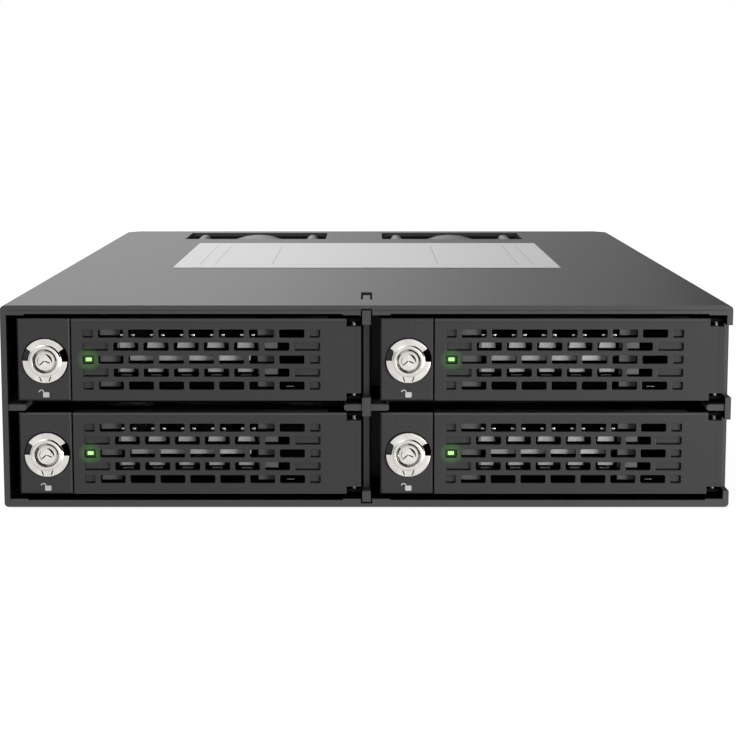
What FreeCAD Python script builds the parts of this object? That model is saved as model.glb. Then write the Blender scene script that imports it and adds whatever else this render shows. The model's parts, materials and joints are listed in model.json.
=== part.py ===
"""Hot swap drive cage: four 2.5-inch trays in one 5.25-inch half-height bay, with two 40 mm fans behind.

Millimetres. X runs to the right, Y from the front to the rear and Z up. The origin is the centre of the
underside. Fixed pieces are placed by their depth behind the front plane. Tray pieces are built in the tray's
own frame (x from its left edge, y behind its face, z above its lower edge) and copied into the four bays.
"""
import FreeCAD, Part
import math
import os

os.makedirs("parts", exist_ok=True)

V = FreeCAD.Vector

# fits
SEAM = 0.05
RUN = 0.1
AIR = 0.3

# sheet metal
SHEET = 1.0
BEND_R = 1.0
FLANGE_T = 0.8
REAR_CHAMFER = 3.8
REAR_LIP = 5.3

# the drive and the sheet tray that carries it
DRIVE_W = 69.85
DRIVE_L = 100.45
DRIVE_FIT = 0.05
DRIVE_GAP = 1.5
DRIVE_HOLE_RISE = 3.0
DRIVE_HOLE_Y = (9.6, 86.2)
DRIVE_HOLE_R = 1.6
RAIL_T = 0.45
RAIL_H = 5.3
FLOOR_T = 0.5
FLOOR_LIFT = 0.8
FLOOR_SHORT = 1.0
RAIL_SHORT = 0.6
FLOOR_SLOT_X = (20.0, 38.0)
FLOOR_SLOT_W = 12.0
FLOOR_SLOT_L = 62.0
FLOOR_SLOT_BACK = 12.0
FRAME_W = DRIVE_W + 2 * (DRIVE_FIT + RAIL_T)

# widths across the cage
RAIL_GAP = 0.275
DIVIDER_T = 1.2
BAY_W = FRAME_W + 2 * RAIL_GAP
HALF = SHEET + BAY_W + DIVIDER_T / 2
INNER = HALF - SHEET

# tray front, seen from the front
TRAY_H = 16.6
LEFT_MARGIN = 1.925
RIGHT_MARGIN = 0.225
TRAY_W = FRAME_W - LEFT_MARGIN - RIGHT_MARGIN
BAY_X = (
    -DIVIDER_T / 2 - RAIL_GAP - RIGHT_MARGIN - TRAY_W,
    DIVIDER_T / 2 + RAIL_GAP + LEFT_MARGIN,
)

# heights
GAP_BOTTOM = 1.6
GAP_UNDER_SHELF = 0.7
SHELF_T = 0.8
GAP_OVER_SHELF = 1.0
GAP_TOP = 1.7
LOW_Z = SHEET + GAP_BOTTOM
SHELF_Z = LOW_Z + TRAY_H + GAP_UNDER_SHELF
HIGH_Z = SHELF_Z + SHELF_T + GAP_OVER_SHELF
HEIGHT = HIGH_Z + TRAY_H + GAP_TOP + SHEET
CEILING = HEIGHT - SHEET
BAY_Z = (HIGH_Z, LOW_Z)

# mouth: thicker rim, pads at its corners, lips on the divider and tongues on the shelf
RIM_D = 5.0
RIM_TOP_T = 0.7
RIM_BOTTOM_T = 0.4
RIM_SIDE_T = 0.15
PAD_T = 0.25
PAD_W = 3.6
LIP_W = 1.7
LIP_D = 3.6
LIP_OVER = 0.6
TONGUE_T = 1.25
TONGUE_W = 3.6
TONGUE_D = 6.0
TONGUE_ROUND = 0.55
SHELF_FRONT = 8.0

# front block and lever handle
FACE_IN = 0.4
BLOCK_W = 10.55
BLOCK_D = 12.0
WALL_T = 1.5
PILLAR_W = 6.6
PILLAR_Y = 5.2
EDGE = 0.3
HANDLE_GAP = 0.3
HANDLE_T = 1.2
HEM_T = 0.9
HEM_D = 4.0
PIVOT_IN = 1.5
PIVOT_Y = 1.9
PIN_R = 0.5
KNUCKLE_W = 2.9
KNUCKLE_D = 3.1
KNUCKLE_ROUND = 0.8
NOTCH_LOW = 1.5
NOTCH_TOP = 1.6
LUG_FRONT = 1.1
LUG_T = 0.6
GUARD_Y = 2.3
POST_W = 4.2
POST_FROM_END = 9.6
RIB_T = 0.9

# grille in the handle
SLOT_W = 5.05
SLOT_H = 1.66
SLOT_PITCH = 6.03
ROW_PITCH = 2.634
ROWS = 5
GRILLE_X = 16.16
GRILLE_RIGHT = 11.2
GRILLE_MARGIN = 3.05
BLIND_D = 0.9
LED_W = 2.3
LED_H = 1.7

# lock
LOCK_X = 5.6
LOCK_Z = 8.1
DISC_R = 4.5
DISC_T = 1.2
DISC_PROUD = 0.6
COLLAR_R = 3.2
COLLAR_PROUD = 1.1
DIAL_R = 2.3
DIAL_PROUD = 0.7
DIAL_L = 3.3
CUT_BEARINGS = (162, 14)
CUT_SWEEP = 44
KEYWAY_SWEEP = 170
BARREL_R = 3.6
BARREL_L = 6.0
PRESS = 1.5
NOSE_X = (1.5, 3.2)
NOSE_H = 2.4
SPRING_R = 1.3
SPRING_WALL = 0.4
SPRING_IN = 1.6
ARM_H = 2.0
ARM_W = 1.8
TOOTH_Y = 2.6
TOOTH_T = 1.2
TOOTH_SHORT = 0.35
TAB_T = 1.0
TAB_IN = 0.5

# light pipe
PIPE_X = 14.2
PIPE_W = 2.0
PIPE_T = 1.2
PIPE_TIP = 0.5
PIPE_GAP = 1.1

# runners under the trays
RUNNER_W = 3.0
RUNNER_IN = 8.0
RUNNER_FIT = 0.07
RUNNER_WALL = 0.8
GROOVE_W = 1.4

# boards, sockets and lamps
BOARD_T = 1.6
LINK_T = 1.2
PLUG_W = 43.0
PLUG_H = 6.2
PLUG_L = 8.0
PLUG_IN = 2.85
PLUG_OFFSET = 4.8
PLUG_RISE = 0.4
EAR_L = 2.4
EAR_W = 2.6
LAMP = (1.8, 0.55, 1.2)
PORT_W = 4.9
PORT_PITCH = 6.0
PORT_WALL = 0.75
PORT_DEEP = 8.0
PORT_PROUD = 0.7
PORT_L = 11.4
POWER_H = 26.0
DATA_H = 33.0
PORT_MARGIN = 1.0

# fans and rear panel
FAN = 40.0
FAN_T = 20.0
LEFT_OF_FANS = 0.505
RIGHT_OF_FANS = 0.064
FAN_AIR = 26.0
FAN_FLANGE = 3.2
FAN_HOLE_PITCH = 0.8 * FAN
FAN_HOLE_R = 1.75
BOSS_R = 3.6
DUCT_R = 0.475 * FAN
DUCT_WALL = 1.2
BLADE_R = 0.455 * FAN
HUB_R = 0.255 * FAN
SHAFT_R = 2.0
SLEEVE_R = 4.0
SEAT_T = 2.2
STRUTS = 3
BLADES = 7
BLADE_T = 1.1
BLADE_CHORD = 12.0
BLADE_PITCH = 48.0
GUARD_RINGS = ((0.1625 * FAN, 0.29 * FAN), (0.33 * FAN, 0.465 * FAN))
GUARD_BAR = 2.0
VENT_H = 2.4
VENT_PITCH = 5.2
VENT_MARGIN = 2.5
VENTS = 6

# windows for air in the divider and the backplane
WINDOW_D = 22.0
WINDOW_PITCH = 24.0
WINDOW_L = 14.0
WINDOW_Z = (5.0, 11.5)
WINDOWS = 4
UPPER_AIR_X = (18.0, 58.0)
UPPER_AIR_Z = (9.6, 14.6)
SIDE_AIR_X = (2.5, 10.0)
SIDE_AIR_Z = (4.0, 14.0)

# tabs of the shelf, and clips behind the backplane
SHELF_TAB_W = 12.0
SHELF_TAB_FRONT = 26.0
SHELF_TAB_REAR = 14.0
CLIP_X = 26.0
CLIP_W = 8.0
CLIP_H = 6.0

# screws
M3_R = 1.5
SIDE_HOLE_D = (47.4, 126.65)
SIDE_HOLE_Z = (10.0, 21.84)
BOTTOM_HOLE_IN = 3.15
SCREW_ROOM = 1.5
PANEL_SCREW_Z = (9.0, 32.0)
PANEL_SCREW_IN = 4.2
SCREW_HEAD_R = 2.6
SCREW_HEAD_T = 1.4
SCREW_L = 9.0

# top sheet: lanced tongue over the divider, and the plain label
LANCE_W = 2.3
LANCE_CUT = 0.4
LANCE_D = (9.3, 21.5)
LANCE_TIP = 16.4
LABEL_W = 93.6
LABEL_D = (69.3, 133.4)
LABEL_T = 0.15
LABEL_R = 2.0

# depths that follow from the pieces
DRIVE_Y = BLOCK_D + FLOOR_T + DRIVE_GAP
PLUG_D = FACE_IN + DRIVE_Y + DRIVE_L - PLUG_IN
BOARD_D = PLUG_D + PLUG_L
CAGE_END = BOARD_D - 4 * SEAM
BOARD_BACK = BOARD_D + BOARD_T
FAN_D = BOARD_BACK + FAN_AIR
FAN_BACK = FAN_D + FAN_T
PANEL_D = FAN_BACK + RUN
PANEL_BACK = PANEL_D + SHEET
PANEL_FLANGE = 8.0
BASE_FLANGE_Z = LOW_Z + FLOOR_LIFT - AIR
LENGTH = PANEL_BACK + REAR_LIP
FRONT = -LENGTH / 2
FAN_Z = HEIGHT / 2
PORT_END = PANEL_BACK + PORT_PROUD
PORT_BOARD_D = PORT_END - PORT_L - BOARD_T
FLOOR_END = PLUG_D - FACE_IN - EAR_L - AIR - FLOOR_SHORT
RAIL_END = PLUG_D - FACE_IN - RAIL_SHORT
RUNNER_D = FACE_IN + BLOCK_D + 2 * AIR
PIVOT_X = TRAY_W - PIVOT_IN
KNUCKLE_X = TRAY_W - KNUCKLE_W
ROW_MID = TRAY_H / 2
CAVITY_Y = BARREL_L + PRESS + 2 * RUN
LATCH_END = BLOCK_D - RUN
ARM_Z = LOCK_Z + DISC_R + 7 * RUN
TAB_X = BLOCK_W + HANDLE_GAP + TAB_IN
PORT_RIGHT = INNER - FLANGE_T - RUN
PORT_LEFT = PORT_RIGHT - PORT_MARGIN - PORT_W - 3 * PORT_PITCH
FAN_ROOM = PORT_LEFT + INNER - 2 * FAN
FAN_X = (
    -INNER + LEFT_OF_FANS * FAN_ROOM + FAN / 2,
    PORT_LEFT - RIGHT_OF_FANS * FAN_ROOM - FAN / 2,
)
GRILLE_END = TRAY_W - GRILLE_RIGHT


# ---------------------------------------------------------------- shapes in general


def block(x0, x1, d0, d1, z0, z1):
    """A box in the cage, with depths measured from the front plane."""
    return Part.makeBox(x1 - x0, d1 - d0, z1 - z0, V(x0, FRONT + d0, z0))


def box(x0, x1, y0, y1, z0, z1):
    """A box in a tray's own frame."""
    return Part.makeBox(x1 - x0, y1 - y0, z1 - z0, V(x0, y0, z0))


def side_block(side, x0, x1, d0, d1, z0, z1):
    """A box on one side of the cage, with x measured outwards from its middle plane."""
    return block(*sorted((side * x0, side * x1)), d0, d1, z0, z1)


def prism(points, z0, z1):
    """A straight prism over a plan outline."""
    wire = Part.makePolygon([V(x, y, z0) for x, y in points + points[:1]])
    return Part.Face(wire).extrude(V(0, 0, z1 - z0))


def section(points, d0, d1):
    """A profile drawn across the cage (x, z) and drawn out along the depth."""
    wire = Part.makePolygon([V(x, FRONT + d0, z) for x, z in points + points[:1]])
    return Part.Face(wire).extrude(V(0, d1 - d0, 0))


PLANES = {
    "x": (V(0, 1, 0), V(0, 0, 1), V(1, 0, 0)),
    "y": (V(0, 0, 1), V(1, 0, 0), V(0, 1, 0)),
    "z": (V(1, 0, 0), V(0, 1, 0), V(0, 0, 1)),
}


def flat_sided(axis, base, r, length, sides, hole=False):
    """A round bar with flat sides, which keeps the mesh light. A hole has its flats on the radius."""
    u, v, along = PLANES[axis]
    reach = r / math.cos(math.pi / sides) if hole else r
    points = []
    for k in range(sides + 1):
        a = (k % sides + 0.5) * 2 * math.pi / sides
        points.append(base + u * (reach * math.cos(a)) + v * (reach * math.sin(a)))
    return Part.Face(Part.makePolygon(points)).extrude(along * length)


def bar_d(x, z, r, d0, d1, sides, hole=False):
    """A flat-sided bar along the depth of the cage."""
    return flat_sided("y", V(x, FRONT + d0, z), r, d1 - d0, sides, hole)


def bar_y(x, z, r, y0, y1, sides, hole=False):
    """A flat-sided bar along y in a tray's own frame."""
    return flat_sided("y", V(x, y0, z), r, y1 - y0, sides, hole)


def join(shapes):
    """One solid from pieces that touch."""
    return shapes[0].fuse(shapes[1:]).removeSplitter()


def corners(half):
    return [(i * half, j * half) for i in (-1, 1) for j in (-1, 1)]


def edges_along(shape, axis, test):
    """Straight edges that run along an axis and whose middle passes the test."""
    found = []
    for e in shape.Edges:
        if e.Curve.TypeId != "Part::GeomLine":
            continue
        t = e.tangentAt(e.FirstParameter)
        if abs(abs(t[axis]) - 1) < 1e-6 and test(e.CenterOfMass):
            found.append(e)
    return found


def save(name, shape):
    if not shape.isValid():
        raise ValueError(name + " is not a sound solid")
    shape.exportStep("parts/" + name + ".step")


# ---------------------------------------------------------------- fixed sheet metal


def rear_corners():
    """Wedges that take off the two rear corners over the full height."""
    wedges = []
    for s in (-1, 1):
        back = FRONT + LENGTH
        points = [
            (s * (HALF - REAR_CHAMFER), back),
            (s * HALF, back - REAR_CHAMFER),
            (s * (HALF + 1), back - REAR_CHAMFER),
            (s * (HALF + 1), back + 1),
            (s * (HALF - REAR_CHAMFER), back + 1),
        ]
        wedges.append(prism(points, -1, HEIGHT + 1))
    return wedges


def fan_openings(z0, z1):
    """Openings in the top and bottom sheets that let the fans stand at their full height."""
    half = FAN / 2 + AIR
    return [block(x - half, x + half, FAN_D - RUN, FAN_BACK + RUN, z0, z1) for x in FAN_X]


def rim_pads():
    """Left edges of the four pads in the corners of the two mouths."""
    outer = INNER - RIM_SIDE_T
    middle = LIP_W / 2 + AIR
    return (-outer, -middle - PAD_W, middle, outer - PAD_W)


def outer_shell():
    """Top and both sides bent from one sheet, with a thicker rim round the mouth."""
    skin = block(-HALF, HALF, 0, LENGTH, SHEET, HEIGHT)
    skin = skin.makeFillet(BEND_R, edges_along(skin, 1, lambda c: c.z > HEIGHT - SHEET / 2))
    mouth = INNER - RIM_SIDE_T
    hollow = [
        block(-INNER, INNER, RIM_D, LENGTH + 1, 0, CEILING),
        block(-mouth, mouth, -1, RIM_D + SEAM, 0, CEILING - RIM_TOP_T),
    ]
    rim_z = CEILING - RIM_TOP_T
    pads = [block(x, x + PAD_W, 0, RIM_D, rim_z - PAD_T, rim_z + PAD_T) for x in rim_pads()]
    shell = skin.cut(hollow).fuse(pads)
    lip = LIP_W / 2 + AIR
    tools = rear_corners() + fan_openings(CEILING - 1, HEIGHT + 1)
    tools.append(block(-lip, lip, -1, RIM_D + RUN, rim_z - 1, CEILING + AIR))
    for z0 in BAY_Z:
        swing = (z0 + LIP_OVER + RUN, z0 + TRAY_H - 2 * LIP_OVER - RUN)
        tools.append(block(mouth - 1, HALF + 1, -1, LIP_D, *swing))
    for s in (-1, 1):
        for d in SIDE_HOLE_D:
            for z in SIDE_HOLE_Z:
                start = V(s * (INNER - 1), FRONT + d, z)
                tools.append(Part.makeCylinder(M3_R, SHEET + 2, start, V(s, 0, 0)))
        for z in PANEL_SCREW_Z:
            tools.append(flush_screw(s, z, RUN))
        for d in shelf_tabs():
            half = SHELF_TAB_W / 2 + SEAM
            tools.append(side_block(s, INNER - 1, HALF + 1, d - half, d + half, *shelf_slot()))
    tools.append(lance())
    return shell.cut(tools).removeSplitter()


def shelf_slot():
    """Heights of the slots that the shelf passes through."""
    return (SHELF_Z - SEAM, SHELF_Z + SHELF_T + SEAM)


def lance():
    """Cuts down both sides of a small tongue, with a clear hole behind its tip."""
    z0, z1 = CEILING - 1, HEIGHT + 1
    w = LANCE_W / 2
    cuts = [
        block(-w, -w + LANCE_CUT, *LANCE_D, z0, z1),
        block(w - LANCE_CUT, w, *LANCE_D, z0, z1),
        block(-w, w, LANCE_TIP, LANCE_D[1], z0, z1),
    ]
    return join(cuts)


def flush_screw(side, z, grow):
    """Flat head and shank of one screw in a side wall, or the hole for it when grown."""
    hole = grow > 0
    depth = FRONT + PANEL_D - PANEL_SCREW_IN
    head_x = INNER if side > 0 else -HALF
    shank = SHEET + FLANGE_T + AIR
    shank_x = HALF - shank if side > 0 else -HALF
    head = flat_sided("x", V(head_x, depth, z), SCREW_HEAD_R + grow, SHEET, 10, hole)
    return head.fuse(flat_sided("x", V(shank_x, depth, z), M3_R - RUN + grow, shank, 8, hole))


def shelf_tabs():
    """Depths of the middles of the tabs that hang the shelf in the side walls."""
    return (SHELF_FRONT + SHELF_TAB_FRONT, CAGE_END - SHELF_TAB_REAR)


def runner_section(floor_z, top):
    """Profiles of the four formed ribs that carry one level of trays, and of the grooves below them."""
    ribs, grooves = [], []
    crown = floor_z - RUNNER_FIT
    for bx in BAY_X:
        for rx in (RUNNER_IN, TRAY_W - RUNNER_IN):
            a, b = bx + rx - RUNNER_W / 2, bx + rx + RUNNER_W / 2
            slope = (crown - top) / 4
            foot = top - SHELF_T / 2
            left = [(a - slope, foot), (a - slope, top), (a, crown)]
            right = [(b, crown), (b + slope, top), (b + slope, foot)]
            ribs.append(left + right)
            g, h = bx + rx - GROOVE_W / 2, bx + rx + GROOVE_W / 2
            ceiling = crown - RUNNER_WALL
            grooves.append([(g, top - 2), (h, top - 2), (h, ceiling), (g, ceiling)])
    return ribs, grooves


def with_runners(sheet, floor_z, top):
    """A sheet with its runners formed up out of it."""
    ribs, grooves = runner_section(floor_z, top)
    end = FACE_IN + FLOOR_END
    sheet = sheet.fuse([section(r, RUNNER_D, end) for r in ribs])
    return sheet.cut([section(g, RUNNER_D + 1, end - 1) for g in grooves])


def base_plate():
    """Bottom sheet with low upturned flanges, runners and two clips behind the backplane."""
    plate = block(-HALF, HALF, 0, LENGTH, 0, SHEET)
    plate = plate.makeFillet(0.8 * SHEET, edges_along(plate, 1, lambda c: c.z < SHEET / 2))
    mouth = INNER - RIM_SIDE_T - SEAM
    rim = [block(-mouth, mouth, 0, RIM_D, SHEET / 2, SHEET + RIM_BOTTOM_T)]
    top = SHEET + RIM_BOTTOM_T + PAD_T
    rim += [block(max(x, -mouth), min(x + PAD_W, mouth), 0, RIM_D, SHEET / 2, top) for x in rim_pads()]
    flanges = []
    clip = BOARD_BACK + SEAM
    for s in (-1, 1):
        flange_d = (RUNNER_D, PANEL_D - PANEL_FLANGE)
        flanges.append(side_block(s, INNER - FLANGE_T, INNER, *flange_d, SHEET / 2, BASE_FLANGE_Z))
        clip_x = (CLIP_X, CLIP_X + CLIP_W)
        flanges.append(side_block(s, *clip_x, clip, clip + FLANGE_T, SHEET / 2, SHEET + CLIP_H))
    plate = with_runners(join([plate] + rim + flanges), LOW_Z + FLOOR_LIFT, SHEET)
    lip = LIP_W / 2 + AIR
    tools = rear_corners() + fan_openings(-1, SHEET + 1)
    tools.append(block(-lip, lip, -1, LIP_D + AIR, SHEET - AIR, SHEET + 2))
    tools.append(block(-lip, lip, LIP_D, RIM_D + RUN, SHEET, SHEET + 2))
    for s in (-1, 1):
        for d in SIDE_HOLE_D:
            x = s * (HALF - BOTTOM_HOLE_IN)
            tools.append(Part.makeCylinder(M3_R, SHEET + 1, V(x, FRONT + d, -0.5), V(0, 0, 1)))
            tools.append(side_block(s, INNER - FLANGE_T - RUN, INNER + RUN, d - 4, d + 4, SHEET, LOW_Z + 2))
    return plate.cut(tools).removeSplitter()


def center_divider():
    """Upright sheet between the bays. Its front edge is a flush lip only where no handle swings."""
    half = DIVIDER_T / 2
    sheet = block(-half, half, LIP_D, CAGE_END, SHEET, CEILING)
    low_lip = (SHEET + SEAM, LOW_Z + LIP_OVER)
    mid_lip = (LOW_Z + TRAY_H - LIP_OVER, HIGH_Z + LIP_OVER)
    top_lip = (HIGH_Z + TRAY_H - 2 * LIP_OVER, CEILING - RUN)
    lips = [block(-LIP_W / 2, LIP_W / 2, 0, LIP_D + AIR, *z) for z in (low_lip, mid_lip, top_lip)]
    tools = [block(-1, 1, lap_depth(), CAGE_END + 1, *shelf_slot())]
    low, high = WINDOW_Z
    for z0 in BAY_Z:
        for k in range(WINDOWS):
            d = WINDOW_D + k * WINDOW_PITCH
            tools.append(block(-1, 1, d, d + WINDOW_L, z0 + low, z0 + high))
    return join([sheet] + lips).cut(tools)


def lap_depth():
    """Depth at which the divider and the shelf lap into each other."""
    return CAGE_END / 2


def mid_shelf():
    """Shelf between the tray levels: four rounded tongues at the mouth, cut back between them."""
    z0, z1 = SHELF_Z, SHELF_Z + SHELF_T
    plate = block(-INNER, INNER, SHELF_FRONT, CAGE_END, z0, z1)
    mid = (z0 + z1) / 2
    mouth = INNER - RIM_SIDE_T - SEAM
    lip = LIP_W / 2 + SEAM
    adds = []
    for held, way in ((-mouth, 1), (-lip, -1), (lip, 1), (mouth, -1)):
        free = held + way * TONGUE_W
        x0, x1 = sorted((held, free))
        tongue = block(x0, x1, AIR, TONGUE_D, mid - TONGUE_T / 2, mid + TONGUE_T / 2)
        rounded = edges_along(tongue, 1, lambda c, end=free: abs(c.x - end) < SEAM)
        tongue = tongue.makeFillet(TONGUE_ROUND, rounded)
        adds += [tongue, block(x0, x1, TONGUE_D - 1, SHELF_FRONT + 1, z0, z1)]
    for s in (-1, 1):
        for d in shelf_tabs():
            d0, d1 = d - SHELF_TAB_W / 2, d + SHELF_TAB_W / 2
            adds.append(side_block(s, INNER - 1, HALF - RUN, d0, d1, z0, z1))
    shelf = with_runners(join([plate] + adds), HIGH_Z + FLOOR_LIFT, z1)
    tools = [block(-DIVIDER_T / 2 - SEAM, DIVIDER_T / 2 + SEAM, -1, lap_depth() + RUN, z0 - 2, z1 + 2)]
    for s in (-1, 1):
        for d in SIDE_HOLE_D:
            d0, d1 = d - 2 * M3_R, d + 2 * M3_R
            tools.append(side_block(s, INNER - SCREW_ROOM, INNER + 1, d0, d1, z0 - 1, z1 + 1))
    return shelf.cut(tools).removeSplitter()


def rear_panel():
    """Rear wall with a stamped guard over each fan, a window for each socket and two side flanges."""
    panel = block(-INNER, INNER, PANEL_D, PANEL_BACK, SHEET, CEILING)
    flange_d = (PANEL_D - PANEL_FLANGE, PANEL_D + SHEET / 2)
    flange_z = (SHEET + 3, CEILING - 3)
    flanges = [side_block(s, INNER - FLANGE_T, INNER, *flange_d, *flange_z) for s in (-1, 1)]
    d0, d1 = PANEL_D - 1, PANEL_BACK + 1
    tools = []
    for s in (-1, 1):
        for z in PANEL_SCREW_Z:
            x = INNER - 2 if s > 0 else -INNER - 1
            base = V(x, FRONT + PANEL_D - PANEL_SCREW_IN, z)
            tools.append(flat_sided("x", base, M3_R, 3, 8, True))
    for x in FAN_X:
        tools += guard_openings(x, d0, d1)
        for dx, dz in corners(FAN_HOLE_PITCH / 2):
            tools.append(bar_d(x + dx, FAN_Z + dz, FAN_HOLE_R + RUN, d0, d1, 8, True))
    for index in range(4):
        x, h = port_x(index), port_height(index) / 2 + 2 * RUN
        w = PORT_W / 2 + 2 * RUN
        tools.append(block(x - w, x + w, d0, d1, FAN_Z - h, FAN_Z + h))
    left = (-INNER + VENT_MARGIN, FAN_X[0] - FAN / 2 - VENT_MARGIN)
    middle = (FAN_X[0] + FAN / 2 + VENT_MARGIN, FAN_X[1] - FAN / 2 - VENT_MARGIN)
    for x0, x1 in (left, middle):
        for k in range(VENTS):
            z = FAN_Z + (k - (VENTS - 1) / 2) * VENT_PITCH
            tools.append(block(x0, x1, d0, d1, z - VENT_H / 2, z + VENT_H / 2))
    return join([panel] + flanges).cut(tools)


def guard_openings(x, d0, d1):
    """The openings of a stamped finger guard: rings of slots between four spokes."""
    spokes = []
    for k in range(2):
        bar = Part.makeBox(FAN, d1 - d0, GUARD_BAR, V(-FAN / 2, 0, -GUARD_BAR / 2))
        bar.rotate(V(0, 0, 0), V(0, 1, 0), 45 + 90 * k)
        bar.translate(V(x, FRONT + d0, FAN_Z))
        spokes.append(bar)
    openings = []
    for r0, r1 in GUARD_RINGS:
        ring = bar_d(x, FAN_Z, r1, d0, d1, 16).cut(bar_d(x, FAN_Z, r0, d0, d1, 16))
        openings.append(ring.cut(spokes))
    return openings


def panel_screws():
    """Flush screws that hold the rear panel's flanges to the side walls."""
    return Part.makeCompound([flush_screw(s, z, 0.0) for s in (-1, 1) for z in PANEL_SCREW_Z])


def blank_label():
    """Plain sticker on the top with rounded corners and no print."""
    sheet = block(-LABEL_W / 2, LABEL_W / 2, *LABEL_D, HEIGHT, HEIGHT + LABEL_T)
    return sheet.makeFillet(LABEL_R, edges_along(sheet, 2, lambda c: True))


# ---------------------------------------------------------------- boards and sockets


def backplane_board():
    """Board across the rear of the bays, with air windows beside and above each socket."""
    edge = INNER - FLANGE_T - RUN
    board = block(-edge, edge, BOARD_D, BOARD_BACK, SHEET + 6 * RUN, CEILING - 6 * RUN)
    tools = []
    for bx in BAY_X:
        for z in BAY_Z:
            for (x0, x1), (z0, z1) in ((UPPER_AIR_X, UPPER_AIR_Z), (SIDE_AIR_X, SIDE_AIR_Z)):
                tools.append(block(bx + x0, bx + x1, BOARD_D - 1, BOARD_BACK + 1, z + z0, z + z1))
    return board.cut(tools)


def drive_connector(bay):
    """Drive socket: a long body with a key slot for the blades and a guide ear at each end."""
    xc = BAY_X[bay % 2] + (TRAY_W - LEFT_MARGIN + RIGHT_MARGIN) / 2 + PLUG_OFFSET
    z0 = BAY_Z[bay // 2] + FLOOR_LIFT + FLOOR_T + PLUG_RISE
    x0, x1 = xc - PLUG_W / 2, xc + PLUG_W / 2
    body = block(x0, x1, PLUG_D, BOARD_D, z0, z0 + PLUG_H)
    slot_end = PLUG_D + 5
    in_x0, in_x1 = x0 + EAR_W + 1.8, x1 - EAR_W - 1.8
    slot = block(in_x0, in_x1, PLUG_D - 1, slot_end, z0 + 1.9, z0 + 3.6)
    key = block(xc + 2.5, xc + 4.1, PLUG_D - 1, slot_end, z0 + 1.9, z0 + 5.0)
    step = block(in_x0, xc + 1.3, PLUG_D - 1, PLUG_D + 1.2, z0 + 4.4, z0 + 5.4)
    ears = [block(x, x + EAR_W, PLUG_D - EAR_L, PLUG_D + RUN, z0 + 1.4, z0 + 4.6) for x in (x0, x1 - EAR_W)]
    return join([body] + ears).cut([slot, key, step])


def status_leds():
    """One small lamp on the backplane at the tail of each light pipe."""
    wide, deep, tall = LAMP
    lamps = []
    for bx in BAY_X:
        for bz in BAY_Z:
            z = bz + FLOOR_LIFT - RUN - PIPE_T / 2
            x0, z0 = bx + PIPE_X - wide / 2, z - tall / 2
            lamps.append(block(x0, x0 + wide, BOARD_D - deep, BOARD_D, z0, z0 + tall))
    return Part.makeCompound(lamps)


def link_board():
    """Upright board from the backplane to the port board."""
    x = (port_x(1) + port_x(2)) / 2
    return block(x - LINK_T / 2, x + LINK_T / 2, BOARD_BACK + RUN, PORT_BOARD_D - RUN, 4, CEILING - 3)


def port_board():
    """Small board that holds the rear sockets square to the rear panel."""
    z0, z1 = SHEET + 4 * AIR, CEILING - 4 * AIR
    return block(PORT_LEFT, PORT_RIGHT, PORT_BOARD_D, PORT_BOARD_D + BOARD_T, z0, z1)


def port_x(index):
    """Middle of one upright socket, counted from the left of the four."""
    return PORT_RIGHT - PORT_MARGIN / 2 - PORT_W / 2 - (3 - index) * PORT_PITCH


def port_height(index):
    return POWER_H if index < 2 else DATA_H


def port(index, cells):
    """A slim upright socket with one hollow and one contact blade for each cell."""
    x, height = port_x(index), port_height(index)
    z0 = FAN_Z - height / 2
    shape = block(x - PORT_W / 2, x + PORT_W / 2, PORT_BOARD_D + BOARD_T, PORT_END, z0, z0 + height)
    cell = height / cells
    inside = PORT_W / 2 - PORT_WALL
    for k in range(cells):
        a, b = z0 + k * cell + PORT_WALL, z0 + (k + 1) * cell - PORT_WALL
        shape = shape.cut(block(x - inside, x + inside, PORT_END - PORT_DEEP, PORT_END + 1, a, b))
        blade = block(x - 0.3, x + 0.9, PORT_END - PORT_DEEP - RUN, PORT_END - 1, a + 1.6, b - 1.2)
        shape = shape.fuse(blade)
    return shape


# ---------------------------------------------------------------- fans


def fan_frame(x):
    """Fan body: duct between two flanges, a boss round each screw hole and a motor seat on three struts."""
    half = FAN / 2
    d0, d1 = FAN_D, FAN_BACK
    places = corners(FAN_HOLE_PITCH / 2)
    body = block(x - half, x + half, d0, d1, FAN_Z - half, FAN_Z + half)
    body = body.makeChamfer(1.5, edges_along(body, 1, lambda c: True))
    kept = [bar_d(x, FAN_Z, DUCT_R + DUCT_WALL, d0, d1, 20)]
    kept += [bar_d(x + dx, FAN_Z + dz, BOSS_R, d0, d1, 8) for dx, dz in places]
    waist = block(x - FAN, x + FAN, d0 + FAN_FLANGE, d1 - FAN_FLANGE, FAN_Z - FAN, FAN_Z + FAN).cut(kept)
    holes = [bar_d(x + dx, FAN_Z + dz, FAN_HOLE_R, d0 - 1, d1 + 1, 8, True) for dx, dz in places]
    body = body.cut([bar_d(x, FAN_Z, DUCT_R, d0 - 1, d1 + 1, 20, True), waist] + holes)
    seat = [bar_d(x, FAN_Z, HUB_R, d1 - SEAT_T - AIR, d1 - AIR, 16)]
    for k in range(STRUTS):
        arm = Part.makeBox(DUCT_R - HUB_R + 2, SEAT_T - AIR, SEAT_T, V(HUB_R - 1, 0, -SEAT_T / 2))
        arm.rotate(V(0, 0, 0), V(0, 1, 0), 30 + 360 / STRUTS * k)
        arm.translate(V(x, FRONT + d1 - SEAT_T - AIR, FAN_Z))
        seat.append(arm)
    shaft = bar_d(x, FAN_Z, SHAFT_R, d0 + FAN_T / 4, d1 - SEAT_T, 8)
    return join([body, shaft] + seat)


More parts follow.
